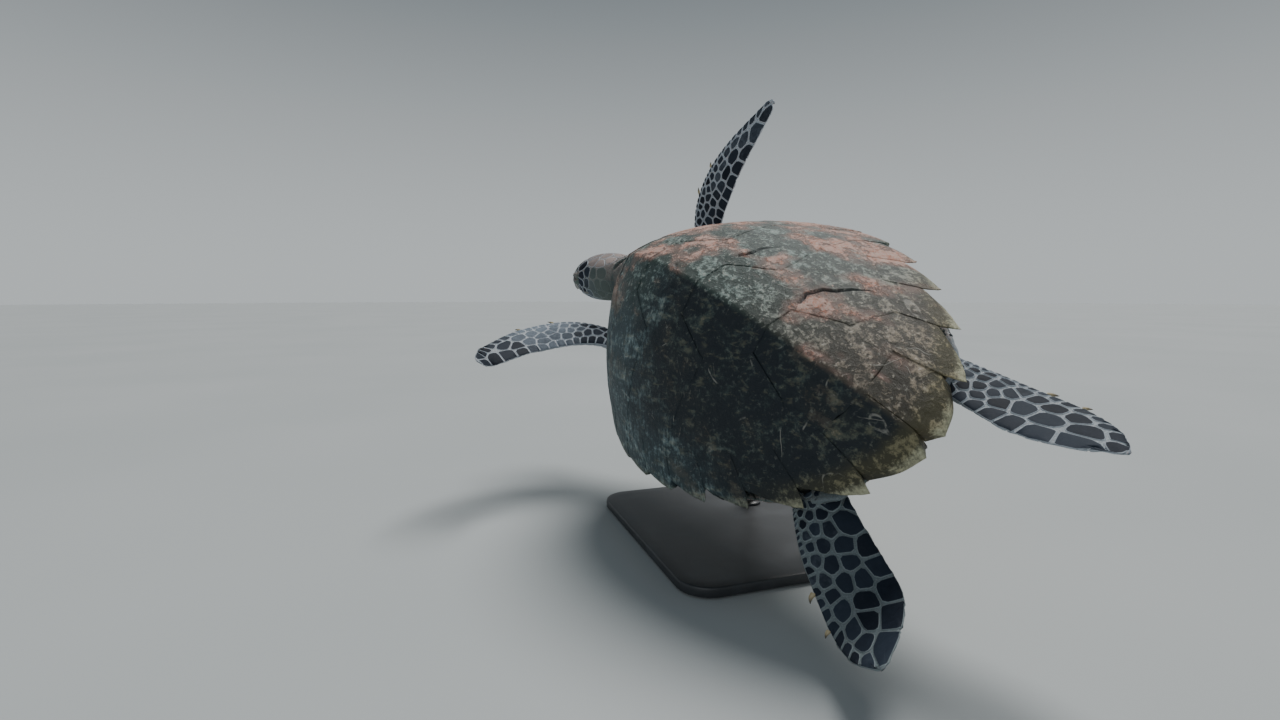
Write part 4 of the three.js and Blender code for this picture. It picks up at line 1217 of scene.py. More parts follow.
FRONT_LEFT = FlipperForm(
    "front_left", ((252, 108, -38), (314, 117, -31), (361, 120, 34), (391, 156, 90), (377, 225, 154),
                   (314, 282, 204), (230, 298, 236)),
    FRONT_CHORD, FRONT_THICKNESS, (1, 0, 0), -22, (0.0, 0.0, 0.5, 0.12),
    ((0, 0.95), (0.38, 0.95), (0.44, 0.6), (0.52, 0.42), (0.64, 0.5), (0.72, 0.9), (1, 0.95)))
FRONT_RIGHT = FlipperForm(
    "front_right", ((252, -108, -38), (318, -124, -33), (368, -144, -2), (376, -186, 48), (322, -256, 108),
                    (212, -362, 167)),
    FRONT_CHORD, FRONT_THICKNESS, (1, 0, 0), 18, (0.5, 0.0, 0.5, 0.12),
    ((0, 0.95), (0.4, 0.95), (0.6, 0.8), (0.8, 0.72), (1, 0.7)))
# Painted shade: the hind-left flipper lies in shade, so the lines between its plates are dulled.
HIND_LEFT = FlipperForm(
    "hind_left", ((-225, 92, -34), (-300, 131, -40), (-374, 165, -62), (-458, 188, -15)),
    HIND_CHORD, HIND_THICKNESS, (0, 1, 0), -10, (0.0, 0.14, 0.4, 0.14),
    ((0, 0.75), (0.3, 0.9), (0.6, 0.95), (1, 0.95)), pale=0.3)
HIND_RIGHT = FlipperForm(
    "hind_right", ((-225, -88, -34), (-300, -90, -54), (-382, -85, -59), (-479, -74, -39)),
    HIND_CHORD, HIND_THICKNESS, (0, -1, 0), -33, (0.5, 0.14, 0.4, 0.14),
    ((0, 0.75), (0.3, 0.9), (0.6, 0.95), (1, 0.95)), pale=0.8)
FLIPPERS = (FRONT_LEFT, FRONT_RIGHT, HIND_LEFT, HIND_RIGHT)


@dataclass(frozen=True)
class HeadForm:
    """The head in a frame of its own: x towards the beak's tip, y to its left, z up."""

    centre: tuple[float, float, float] = (531, 33, 92)
    scale: float = 1.04
    yaw: float = math.radians(23)
    pitch: float = math.radians(11.5)
    roll: float = math.radians(25)
    half_width: Stops = ((-88, 44), (-66, 50), (-36, 52), (0, 50), (24, 40), (44, 28), (62, 18), (78, 9),
                         (84, 5), (86, 1))
    top: Stops = ((-88, 38), (-60, 45), (-25, 48), (8, 45), (32, 37), (52, 27), (70, 15), (82, 3), (85, -3),
                  (86, -9))
    bottom: Stops = ((-88, -43), (-50, -46), (-10, -42), (20, -35), (46, -27), (66, -22), (80, -20),
                     (85, -18), (86, -13))
    beak_front: float = 41.0  # where the horn of the beak starts
    mouth_back: float = -16.0  # the corner of the mouth
    mouth_height: float = -13.0
    eye: tuple[float, float, float] = (21, 32, 13)
    eye_radius: float = 13.5
    coat: float = 0.9

    def matrix(self) -> Array:
        """The head frame's turn and scale in the body frame."""
        turn = (Matrix.Rotation(self.yaw, 3, "Z") @ Matrix.Rotation(-self.pitch, 3, "Y")
                @ Matrix.Rotation(self.roll, 3, "X"))
        return np.array(turn) * self.scale

    def to_body(self, points: Array) -> Array:
        """Head places to body places."""
        return np.asarray(points, float) @ self.matrix().T + np.array(self.centre)

    def from_body(self, points: Array) -> Array:
        """Body places to head places."""
        return (np.asarray(points, float) - np.array(self.centre)) @ self.matrix() / self.scale ** 2

    def mouth_at(self, x: Array) -> Array:
        """The height of the mouth line, which drops a little towards the beak."""
        return self.mouth_height - 0.06 * x

    def mouth_turn(self, x: Array) -> Array:
        """The angle round the head at which the mouth line lies."""
        high, low = read_profile(self.top, x), read_profile(self.bottom, x)
        share = (self.mouth_at(x) - (high + low) / 2) / ((high - low) / 2)
        return np.arcsin(np.sign(share) * np.clip(np.abs(share), 0, 1) ** (1 / 0.9))

    def beak_share(self, x: Array, z: Array) -> Array:
        """How far ahead of the beak's back edge a place is, in millimetres."""
        return (x - self.beak_front) + 0.25 * (z - self.mouth_height)

    def surface(self, x: Array, turn: Array, lift: Array | float = 0.0) -> tuple[Array, Array]:
        """A place on the head and its normal, in the head frame.

        Args:
            x: The place along the head.
            turn: The angle round it: 0 at its left side, a quarter turn at the crown.
            lift: How far out of the surface.

        Returns:
            The places and the outward normals.
        """
        x, turn = np.broadcast_arrays(np.asarray(x, float).ravel(), np.asarray(turn, float).ravel())
        ends = []
        for dx, dt in ((0, 0), (0.5, 0), (0, 0.01)):
            at, t = x + dx, turn + dt
            high, low = read_profile(self.top, at), read_profile(self.bottom, at)
            c, s = np.cos(t), np.sin(t)
            y = read_profile(self.half_width, at) * np.sign(c) * np.abs(c) ** 0.85
            z = (high + low) / 2 + (high - low) / 2 * np.sign(s) * np.abs(s) ** 0.9
            ends.append(np.column_stack([at, y, z]))
        normal = unit(np.cross(ends[2] - ends[0], ends[1] - ends[0]))
        normal *= np.sign((normal * (ends[0] - np.column_stack([x, x * 0, x * 0]))).sum(1))[:, None]
        return ends[0] + normal * np.reshape(lift, (-1, 1)), normal


HEAD = HeadForm()


@dataclass
class TubeForm:
    """The neck or the tail: a round form that changes size along a spine."""

    places: tuple[tuple[float, float, float], ...]
    width: Stops
    height: Stops
    coat: float = 1.0
    sides: int = 56  # points round the section

    def __post_init__(self) -> None:
        """Draws the spine."""
        self.spine = Spine(self.places)

    def place(self, s: Array, turn: Array) -> Array:
        """A place on the skin by share of the length and angle round the section."""
        s, turn = np.broadcast_arrays(np.asarray(s, float), np.asarray(turn, float))
        along = self.spine.way(s)
        across = unit(np.array([0, 1.0, 0]) - along * along[:, 1:2])
        over = np.cross(along, across)
        wide = read_profile(self.width, s)[:, None] / 2 - self.coat
        high = read_profile(self.height, s)[:, None] / 2 - self.coat
        middle, c, sine = self.spine.place(s), np.cos(turn)[:, None], np.sin(turn)[:, None]
        return middle + across * wide * c + over * high * sine

    def rings(self, start: float, end: float, count: int) -> Array:
        """Rings of the skin between two shares of the length."""
        turns = full_turn(self.sides)
        return np.array([self.place(np.full(self.sides, s), turns) for s in np.linspace(start, end, count)])

    def locate(self, points: Array) -> tuple[Array, Array]:
        """Share of the length and distance from the middle line."""
        shares = np.linspace(0, 1, 100)
        gap = np.linalg.norm(points[:, None, :] - self.spine.place(shares)[None], axis=2)
        return shares[gap.argmin(1)], gap.min(1)


HEAD_BACK = tuple(HEAD.to_body([(-86, 0, -3)])[0])
NECK = TubeForm(((246, 0, -34), (335, 1, -34), (394, 0, 4), HEAD_BACK),
                ((0, 122), (0.4, 118), (0.75, 106), (1, 94)), ((0, 82), (0.35, 76), (0.75, 88), (1, 84)))
TAIL = TubeForm(((-240, 0, -35), (-290, 0, -35), (-324, 0, -36)), ((0, 46), (0.5, 32), (1, 8)),
                ((0, 24), (0.5, 20), (1, 6)))


# ---- The skin ----


@dataclass(frozen=True)
class SkinFinish:
    """Leathery skin: grey-green with creases, pinkish on top as painted light from above, cream below, pale
    on the blades.
    """

    grey: Colour = paint(0x626F6A)
    dark: Colour = paint(0x434E50)
    pink_top_light: Colour = paint(0xA3958F)
    cream: Colour = paint(0xC6BFA6)
    line: Colour = paint(0xB4BBC3)
    shaded_line: Colour = paint(0x4B5955)
    slate: Colour = paint(0x3A4550)

    def make(self) -> Material:
        """The material, which reads the skin's marks."""
        f = Finish("skin")
        blade, dark, topside = f.mark("blade"), f.mark("dark"), f.mark("topside")
        fine, broad = f.noise(3.2, 5, 0.6), f.noise(24, 4, 0.6)
        colour = f.mix(f.rise(broad, 0.35, 0.65), self.grey, self.dark)
        # Painted light: the skin's upper side, by its normal, turns pale pink as if lit from above.
        colour = f.mix(f.rise(topside, 0.35, 0.95) * 0.65, colour, self.pink_top_light)
        colour = f.mix(f.rise(topside, -0.35, -0.95) * 0.75, colour, self.cream)
        # Painted light and shade on the blades: the lines between plates run from a dull tone in shade to the
        # lit pale one.
        lines = f.mix(f.mark("bright"), self.shaded_line, self.line)
        lines = f.mix(f.rise(dark, 0.6, 1.0) * 0.3, lines, self.slate)
        colour = f.mix(blade, colour, lines)
        # Painted shade: the skin is darker along the grooves between its small cells, where the bump sinks
        # them.
        pores = f.rise(f.cells(2.6, "DISTANCE_TO_EDGE"), 0.0, 0.22)
        colour = f.mix((1.0 - pores) * 0.35, colour, self.dark)
        f.bump(pores, 0.35, 0.7)
        f.bump(f.noise(8, 4, 0.6), 0.7, 0.5)
        f.bump(fine, 0.25, 0.5)
        return f.done(colour, fine * 0.25 + 0.42, Subsurface_Weight=0.05, Subsurface_Scale=0.004,
                      Specular_IOR_Level=0.3)


@dataclass(frozen=True)
class Skin:
    """One seamless skin over the trunk, neck, head, jaw, flippers and tail."""

    voxel: float = 1.95  # how fine the skin is at first, in millimetres
    triangles: int = 158000  # how many are left once it is thinned out
    replaced: tuple[str, ...] = ("trunk", "neck", "head", "lower_jaw", "tail", "flipper_front_left",
                                 "flipper_front_right", "flipper_hind_left", "flipper_hind_right")
    head_sides: int = 72
    head_steps: int = 80
    under_beak: float = 2.6  # how far the skin draws in under the beak
    belly: Stops = ((-262, 26), (-215, 70), (-120, 112), (0, 172), (90, 172), (180, 112), (240, 62))
    creases: Stops = ((0.44, 1.6), (0.54, 2.2), (0.63, 1.7), (0.72, 2.4), (0.81, 1.7), (0.9, 2.3))
    crease_width: float = 2.6
    fold: float = 0.45  # how deep the folds at the limbs are

    def raw(self) -> Object:
        """All the smooth forms and the trunk's solid, one through another."""
        sheet = Sheet()
        for form in FLIPPERS:
            sheet.loft(form.rings())
        sheet.loft(NECK.rings(-0.04, 1.06, 50))
        sheet.loft(TAIL.rings(-0.1, 1.0, 30))
        turns = full_turn(self.head_sides)
        rings = []
        for at in np.linspace(-90, 84, self.head_steps):
            x = np.full(self.head_sides, at)
            bare, _ = HEAD.surface(x, turns)
            drawn_in = smooth_step(-1, 2, HEAD.beak_share(bare[:, 0], bare[:, 2])) * self.under_beak
            rings.append(HEAD.to_body(HEAD.surface(x, turns, -HEAD.coat - drawn_in)[0]))
        sheet.loft(np.array(rings))
        sheet.add(*merged_node("trunk"))
        return sheet.build("skin_raw")

    def build(self, material: Material) -> Object:
        """Makes the skin.

        Args:
            material: Its finish.

        Returns:
            The finished skin.
        """
        raw = self.raw()
        remesh = raw.modifiers.new("one_skin", "REMESH")
        remesh.mode, remesh.voxel_size = "VOXEL", self.voxel * MM
        smooth = raw.modifiers.new("soften", "SMOOTH")
        smooth.factor, smooth.iterations = 0.5, 5
        skin = evaluated(raw, "skin_fine")
        points, triangles = model_mesh(skin)
        coarse = skin.vertex_groups.new(name="coarse")
        for weight, chosen in self.coarse_places(points):
            coarse.add(np.nonzero(chosen)[0].tolist(), weight, "REPLACE")
        thin = skin.modifiers.new("thin_out", "DECIMATE")
        thin.ratio = self.triangles / len(triangles)
        thin.vertex_group, thin.vertex_group_factor = "coarse", 1.0
        skin = evaluated(skin, "skin")
        self.refine(skin)
        self.sculpt(skin)
        self.mark(skin)
        skin.data.shade_smooth()
        return publish(skin, material, "skin", self.replaced)

    def coarse_places(self, points: Array) -> Iterator[tuple[float, Array]]:
        """How coarse the skin may be, from 0 to 1, and where: all of it at least a little but the head."""
        near_head = np.linalg.norm(points - np.array(HEAD.centre), axis=1) < 105
        yield 0.12, ~near_head
        for form in FLIPPERS:
            s, _, away = form.locate(points)
            yield 0.35, (away < 56) & (s > 0.16)
        yield 1.0, self.hidden(points)

    def hidden(self, points: Array) -> Array:
        """Which places lie behind the shell's plates."""
        x, y, z = points.T
        inside = SHELL.share_out(x, y) < 0.84
        under_back = inside & (z > SHELL.rim_height(x) - 4)
        belly = np.abs(y) < np.clip(read_profile(self.belly, x) - 10, 0, None)
        over_belly = belly & (z < -40) & (x > -255) & (x < 232)
        return under_back | over_belly

    @staticmethod
    def refine(skin: Object) -> None:
        """Splits the triangles round the eyes twice and along the mouth once, for the fine work there."""
        mesh = bmesh.new()
        mesh.from_mesh(skin.data)
        for reach, mouth in ((20.0, 5.0), (19.0, 0.0)):
            middles = np.array([face.calc_center_median() for face in mesh.faces])
            local = HEAD.from_body(BODY.from_model(middles))
            eyes = [np.array(HEAD.eye) * (1, side, 1) for _, side in SIDES]
            near = [np.linalg.norm(local - eye, axis=1) < reach for eye in eyes]
            line = np.abs(local[:, 2] - HEAD.mouth_at(local[:, 0])) < mouth
            line &= (local[:, 0] > HEAD.mouth_back - 8) & (local[:, 0] < 48) & (np.abs(local[:, 1]) < 60)
            mesh.faces.ensure_lookup_table()
            chosen = np.nonzero(near[0] | near[1] | line)[0]
            edges = dict.fromkeys(edge for i in chosen for edge in mesh.faces[i].edges)
            bmesh.ops.subdivide_edges(mesh, edges=list(edges), cuts=1, use_grid_fill=True)
        bmesh.ops.triangulate(mesh, faces=[face for face in mesh.faces if len(face.verts) > 3])
        mesh.to_mesh(skin.data)
        mesh.free()

    def sculpt(self, skin: Object) -> None:
        """Shapes the head, the creases of the neck and the folds at the limbs."""
        points, _ = model_mesh(skin)
        normals = model_normals(skin)
        near_head = np.linalg.norm(points - np.array(HEAD.centre), axis=1) < 130
        shaped = points.copy()
        shaped[near_head] = self.face(points[near_head], normals[near_head])
        ragged = (fractal_noise(points, 26, 61, 3) - 0.5) * 15
        shaped += normals * self.neck_creases(points, ragged)[:, None]
        for form in FLIPPERS:
            s, _, away = form.locate(points)
            near = (away < 60) & (s < 0.4) & (s > 0.01)
            folds = np.sin((s * form.length + ragged * 0.5) / 2.6) * smooth_step(0.36, 0.1, s)
            shaped += normals * (self.fold * folds * near)[:, None]
        skin.data.vertices.foreach_set("co", BODY.to_model(shaped).ravel())
        skin.data.update()

    @staticmethod
    def face(points: Array, normals: Array) -> Array:
        """Shapes the mouth, the cheeks, the temples and the lids.

        Args:
            points: Skin places on the head, in the body frame.
            normals: The way out there.

        Returns:
            The moved places.
        """
        local = HEAD.from_body(points)
        x, y, z = local.T
        aside = np.abs(y)
        mouth = np.abs(z - HEAD.mouth_at(x))
        along_mouth = smooth_step(HEAD.mouth_back - 4, HEAD.mouth_back + 6, x) * smooth_step(-3, 4, 50 - x)
        cheek = np.exp(-(((x + 34) / 22) ** 2 + ((z + 12) / 17) ** 2)) * smooth_step(20, 34, aside)
        temple = np.exp(-(((x + 16) / 13) ** 2 + ((z - 12) / 9) ** 2)) * smooth_step(20, 34, aside)
        move = -1.7 * smooth_step(2.6, 0.2, mouth) * along_mouth * smooth_step(8, 14, aside)
        move += 0.9 * smooth_step(7, 3.4, mouth) * smooth_step(2.0, 3.2, mouth) * along_mouth
        move += 2.2 * cheek
        move -= 1.6 * temple
        local = local + unit(normals @ HEAD.matrix()) * move[:, None]
        for _, side in SIDES:
            local = EYES.lids(local, side)
        return HEAD.to_body(local)

    def neck_creases(self, points: Array, ragged: Array) -> Array:
        """How far the creases move each place of the neck, with their wander along it."""
        s, away = NECK.locate(points)
        on_neck = (away < 72) & (points[:, 0] > 330) & (s < 0.995)
        crease = np.zeros(len(points))
        for at, deep in self.creases:
            gap = np.abs((s - at) * NECK.spine.length + ragged)
            swelling = 0.35 * deep * np.exp(-((gap - 6) / 3.4) ** 2)
            crease -= deep * np.exp(-(gap / self.crease_width) ** 2) - swelling
        return crease * on_neck * smooth_step(335, 350, points[:, 0])

    @staticmethod
    def mark(skin: Object) -> None:
        """Stores the marks that the finish reads, the same as the scales have."""
        points, _ = model_mesh(skin)
        blade, dark, bright = (np.zeros(len(points)) for _ in range(3))
        for form in FLIPPERS:
            s, across, away = form.locate(points)
            on = (away < 56) * smooth_step(0.06, 0.22, s)
            # Each flipper's line lightness, lowered as painted shade on a flipper in shade.
            bright = np.where(on > blade, form.pale, bright)
            blade = np.maximum(blade, on)
            dark = np.maximum(dark, on * form.darkness(s, across))
        # topside, how far the skin faces up, drives both the painted top light and the real cream underside.
        marks = {"blade": blade, "dark": dark, "bright": bright, "topside": model_normals(skin)[:, 2]}
        for name, values in marks.items():
            write_mark(skin.data, name, values)


# ---- The eyes ----


@dataclass(frozen=True)
class EyeFinish:
    """A wet dark eye: black pupil, dark brown iris with a lighter ring, grey edge."""

    pupil: Colour = paint(0x050506)
    iris: Colour = paint(0x20160E)
    ring: Colour = paint(0x453219)
    white: Colour = paint(0x3A322A)

    def make(self) -> Material:
        """The material, which reads the distance from the pupil's middle."""
        f = Finish("eye")
        out = f.mark("out")
        threads = f.noise(0.9, 3, 0.6)
        colour = f.mix(f.rise(threads, 0.35, 0.65), self.iris, self.ring)
        colour = f.mix(f.rise(out, 0.52, 0.60), colour, self.white)
        colour = f.mix(f.rise(out, 0.36, 0.31), colour, self.pupil)
        return f.done(colour, 0.12, Coat_Weight=0.8, Coat_Roughness=0.03)


@dataclass(frozen=True)
class Eyes:
    """Both eyes and the lids that the skin draws over them."""

    opening: float = 10.5  # half the length of the lids' opening
    gape: float = 5.6  # half its height
    lid: float = 1.5  # thickness of a lid over the ball
    reach: float = 21.0  # how far round the eye the lids draw the skin
    brow: tuple[float, float, float] = (10.5, 1.7, 2.6)  # the ridge over the eye: where, how high, how wide
    bag: tuple[float, float, float] = (-9.6, 0.9, 2.2)  # the fold under it
    groove: tuple[float, float] = (15.6, 0.8)  # the groove round the lids: how far out and how deep
    cornea: float = 0.03  # how far the front of the ball bulges, as a share of its radius
    facing: tuple[float, float, float] = (0.34, 0.90, 0.26)
    upward: tuple[float, float, float] = (-0.10, 0.0, 1.0)

    def axes(self, side: float) -> tuple[Array, Array, Array, Array]:
        """The eye's middle and its ways forward, up and out, in the head frame."""
        middle = np.array(HEAD.eye, float) * (1, side, 1)
        out = unit(np.array(self.facing) * (1, side, 1))
        up = unit(np.array(self.upward) - out * (out @ np.array(self.upward)))
        forward = np.cross(up, out) * side
        return middle, forward, up, out

    def lids(self, points: Array, side: float) -> Array:
        """Draws the skin near one eye into two lids round an almond opening.

        Args:
            points: Skin places in the head frame.
            side: 1 for the left eye, -1 for the right one.

        Returns:
            The moved places.
        """
        middle, forward, up, out = self.axes(side)
        gap = points - middle
        u, v, h = gap @ forward, gap @ up, gap @ out
        r = np.hypot(u, v)
        near = (r < self.reach) & (h > -2)
        radius = HEAD.eye_radius + self.lid
        dome = np.sqrt(np.maximum(radius ** 2 - r ** 2, 9.0))
        share = smooth_step(19.0, 10.5, r)
        target = np.maximum(dome, h * (1 - share))
        height = h + (target - h) * share
        slot = self.gape * (1 - np.clip(u / self.opening, -1, 1) ** 2)
        inside = smooth_step(0.9, -0.5, np.abs(v - 0.4) - slot)
        at, high, wide = self.brow
        brow = high * np.exp(-((v - at - 0.03 * u) / wide) ** 2) * smooth_step(17, 9, np.abs(u))
        at, high, wide = self.bag
        bag = high * np.exp(-((v - at) / wide) ** 2) * smooth_step(15, 8, np.abs(u))
        ring, deep = self.groove
        height = height + brow + bag - deep * smooth_step(1.8, 0.3, np.abs(r - ring))
        height = height * (1 - inside) + 3.0 * inside
        moved = middle + u[:, None] * forward + v[:, None] * up + height[:, None] * out
        return np.where(near[:, None], moved, points)

    def build(self, material: Material) -> None:
        """Makes both eyeballs."""
        ring, turn = np.meshgrid(np.linspace(0, np.pi, 33)[1:-1], full_turn(48), indexing="ij")
        r = HEAD.eye_radius * (1 + self.cornea * np.exp(-(ring / 0.45) ** 2))
        n, m = ring.shape
        for name, side in SIDES:
            middle, forward, up, out = self.axes(side)
            shares = (r * np.cos(ring), r * np.sin(ring) * np.cos(turn), r * np.sin(ring) * np.sin(turn))
            ball = sum(way * share[..., None] for way, share in zip((out, forward, up), shares))
            ball = ball.reshape(-1, 3) + middle
            poles = middle + np.outer([HEAD.eye_radius * (1 + self.cornea), -HEAD.eye_radius], out)
            quads = [(a * m + b, a * m + (b + 1) % m, (a + 1) * m + (b + 1) % m, (a + 1) * m + b)
                     for a in range(n - 1) for b in range(m)]
            caps = [(n * m, (b + 1) % m, b) for b in range(m)]
            caps += [(n * m + 1, (n - 1) * m + b, (n - 1) * m + (b + 1) % m) for b in range(m)]
            faces = [f if side > 0 else f[::-1] for f in [q[::-1] for q in quads] + caps]
            sheet = Sheet()
            sheet.add(HEAD.to_body(np.vstack([ball, poles])), faces,
                      out=np.concatenate([ring.ravel(), [0, np.pi]]) / (np.pi / 2))
            publish(sheet.build(f"eye_ball_{name}"), material, "eye", [f"eye_{name}"])


EYES = Eyes()


# ---- The scales ----


@dataclass(frozen=True)
class ScaleFinish:
    """Horny scales: dark slate with pale edges, lighter where the markings are pale, pink on the upper head
    and neck as painted light from above, and with duller edges on a flipper in shade as painted shade.
    """

    name: str = "scale_plate"
    dark: Colour = paint(0x2A323D)
    deep: Colour = paint(0x181D26)
    light: Colour = paint(0x77828E)
    line: Colour = paint(0xBCC3CC)
    pink_top_light: Colour = paint(0x9E918C)
    green: Colour = paint(0x59625F)
    green_line: Colour = paint(0x78827F)
    shaded_line: Colour = paint(0x4F5E5A)

    def make(self) -> Material:
        """The material, which reads the scales' marks."""
        f = Finish(self.name)
        tone, rim, dark = f.mark("tone"), f.mark("rim"), f.mark("dark")
        warm, rear = f.mark("warm"), f.mark("rear")
        fine, cloud = f.noise(1.5, 4, 0.6), f.noise(7, 5, 0.65)
        spread = (cloud - 0.5) * 0.9
        colour = f.mix(f.math("ADD", tone, spread, clamp=True), self.deep, self.dark)
        # The pink tone here is painted light from above on the upper head and neck, and the real pale tone of
        # the small scales underneath.
        pale = f.mix(warm, f.mix(rear, self.light, self.green), self.pink_top_light)
        colour = f.mix(f.rise(dark + spread * 0.5, 0.85, 0.15), colour, pale)
        edging = rim + (fine - 0.5) * 0.4
        line = f.mix(warm, f.mix(rear, self.line, self.green_line), self.line)
        # Painted light and shade on the plate edges: dull on a flipper in shade, pale where lit.
        edge = f.mix(f.mark("bright"), self.shaded_line, line)
        colour = f.mix(f.rise(edging, 0.45, 0.85) * 0.85, colour, edge)
        f.bump(fine, 0.2, 0.6)
        f.bump(f.noise(5, 3, 0.5), 0.4, 0.5)
        return f.done(colour, fine * 0.25 + 0.52, Specular_IOR_Level=0.09)


BAKE_MARKS = ("bake_u", "bake_v")
BAKE_PATCH = 0.003  # how wide each scale's patch in the bake map is


def cut_cell(cell: Array, place: Array, way: Array) -> Array:
    """The part of a convex cell that lies behind a line.

    Args:
        cell: The cell's corners in order.
        place: A point on the line.
        way: The direction that points ahead of the line.

    Returns:
        The corners of what is left.
    """
    ahead = (cell - place) @ way
    kept = []
    for a, b, da, db in zip(cell, np.roll(cell, -1, axis=0), ahead, np.roll(ahead, -1)):
        if da <= 0:
            kept.append(a)
        if (da <= 0) != (db <= 0):
            kept.append(a + (b - a) * da / (da - db))
    return np.array(kept).reshape(-1, 2)


def cells_round(seeds: Array, gap: float, reach: float) -> list[Array]:
    """Rounded cells round some seeds, parted by grooves.

    Args:
        seeds: Rows of the cells' place along, place across, width and stretch along.
        gap: The width of the grooves.
        reach: How far a cell may go from its seed.

    Returns:
        One outline for each seed; empty where nothing is left.
    """
    result = []
    for u, v, wide, longer in seeds:
        gaps = (seeds[:, :2] - (u, v)) / (longer, 1.0)
        away = np.linalg.norm(gaps, axis=1)
        turn = full_turn(10)
        cell = min(reach, wide * 0.8) * np.column_stack([np.cos(turn), np.sin(turn)])
        for j in np.argsort(away)[1:22]:
            if len(cell) < 3:
                break
            way = gaps[j] / away[j]
            half_way = (away[j] + (wide - seeds[j, 2]) / 2 - gap) / 2
            cell = cut_cell(cell, way * half_way, way)
        if len(cell) >= 3:
            ahead = np.roll(cell, -1, axis=0)
            cell = np.stack([cell * 0.8 + ahead * 0.2, cell * 0.2 + ahead * 0.8], 1).reshape(-1, 2)
        result.append(cell * (longer, 1.0) + (u, v))
    return result


@dataclass
class SkinSurface:
    """The finished skin, on which scales are settled."""

    skin: Object
    reach: float = 9.0  # how far a place may be moved onto the skin
    facing: float = 0.3  # how closely the skin there must face the same way

    def __post_init__(self) -> None:
        """Indexes the skin's triangles."""
        points, triangles = model_mesh(self.skin)
        self.tree = BVHTree.FromPolygons(points.tolist(), triangles.tolist())

    def settle(self, points: Array, normals: Array, lift: Array) -> Array:
        """Moves points onto the skin and then out of it.

        Args:
            points: Where they are roughly.
            normals: The way out of the surface there.
            lift: How far above the skin each one goes.

        Returns:
            The settled points.
        """
        base = np.array(points, float)
        for i, (place, normal) in enumerate(zip(points, normals)):
            way = Vector(normal)
            hit, facing, _, _ = self.tree.ray_cast(Vector(place) + way * self.reach / 2, -way, self.reach)
            if hit is None or facing.dot(way) < self.facing:
                hit, facing, _, _ = self.tree.find_nearest(Vector(place), self.reach)
            if hit is not None and facing.dot(way) > self.facing:
                base[i] = hit
        return base + normals * lift[:, None]


@dataclass(frozen=True)
class ScaleShape:
    """How one scale stands over the skin."""

    height: float = 1.0
    sunk: float = 0.7  # how far its foot lies under the skin
    border: float = 1.3  # how wide its sloping edge is

    def add(self, sheet: Sheet, outline: Array, place: Callable[[Array], tuple[Array, Array]],
            surface: SkinSurface, bake: Array, marks: dict[str, float]) -> None:
        """Adds one scale as a closed solid.

        Args:
            sheet: What it is added to.
            outline: Its outline in the plan.
            place: Turns plan places into body places and normals.
            surface: The skin that it sits on.
            bake: The middle of its patch in the bake map.
            marks: Its marks, the same all over it.
        """
        middle = outline.mean(0)
        spread = outline - middle
        reach = np.linalg.norm(spread, axis=1).mean()
        inner = max(0.3, 1 - self.border / max(reach, 1e-6))
        shares = np.array([1.0, 1.0, 1 - 0.25 * (1 - inner), inner, inner * 0.5, 0.0])
        lifts = np.append(-self.sunk, self.height * np.array([0.35, 0.8, 1.0, 1.12, 1.15]))
        n = len(outline)
        plan = np.vstack([middle + spread * share for share in shares[:5]] + [middle[None]])
        lift = np.append(np.repeat(lifts[:5], n), lifts[5])
        rim = np.append(np.repeat([1.0, 1.0, 0.9, 0.35, 0.0], n), 0.0)
        spots, normals = place(plan)
        points = surface.settle(spots, normals, lift)
        points = np.vstack([points, points[:n].mean(0)])
        faces = [(r * n + i, r * n + (i + 1) % n, (r + 1) * n + (i + 1) % n, (r + 1) * n + i)
                 for r in range(4) for i in range(n)]
        faces += [(4 * n + i, 4 * n + (i + 1) % n, 5 * n) for i in range(n)]
        faces += [((i + 1) % n, i, 5 * n + 1) for i in range(n)]
        a, b, c = points[0], points[1], points[n + 1]
        if np.cross(b - a, c - a) @ (points[0] - points[5 * n + 1]) < 0:
            faces = [f[::-1] for f in faces]
        patch = np.vstack([plan, middle]) - middle
        patch = patch / max(np.abs(patch).max(), 1e-6) * BAKE_PATCH / 2 + bake
        rim = np.append(rim, 1.0)
        sheet.add(points, faces, rim=rim, bake_u=patch[:, 0], bake_v=patch[:, 1], **marks)


def write_bake_map(piece: Object) -> None:
    """Turns the two bake marks of a coat piece into its UV map."""
    mesh = piece.data
    corners = np.zeros(len(mesh.loops), np.int32)
    mesh.loops.foreach_get("vertex_index", corners)
    places = np.column_stack([read_mark(mesh, name)[corners] for name in BAKE_MARKS])
    mesh.uv_layers.new(name="OFBake").data.foreach_set("uv", places.ravel().astype(np.float32))
    for name in BAKE_MARKS:
        mesh.attributes.remove(mesh.attributes[name])


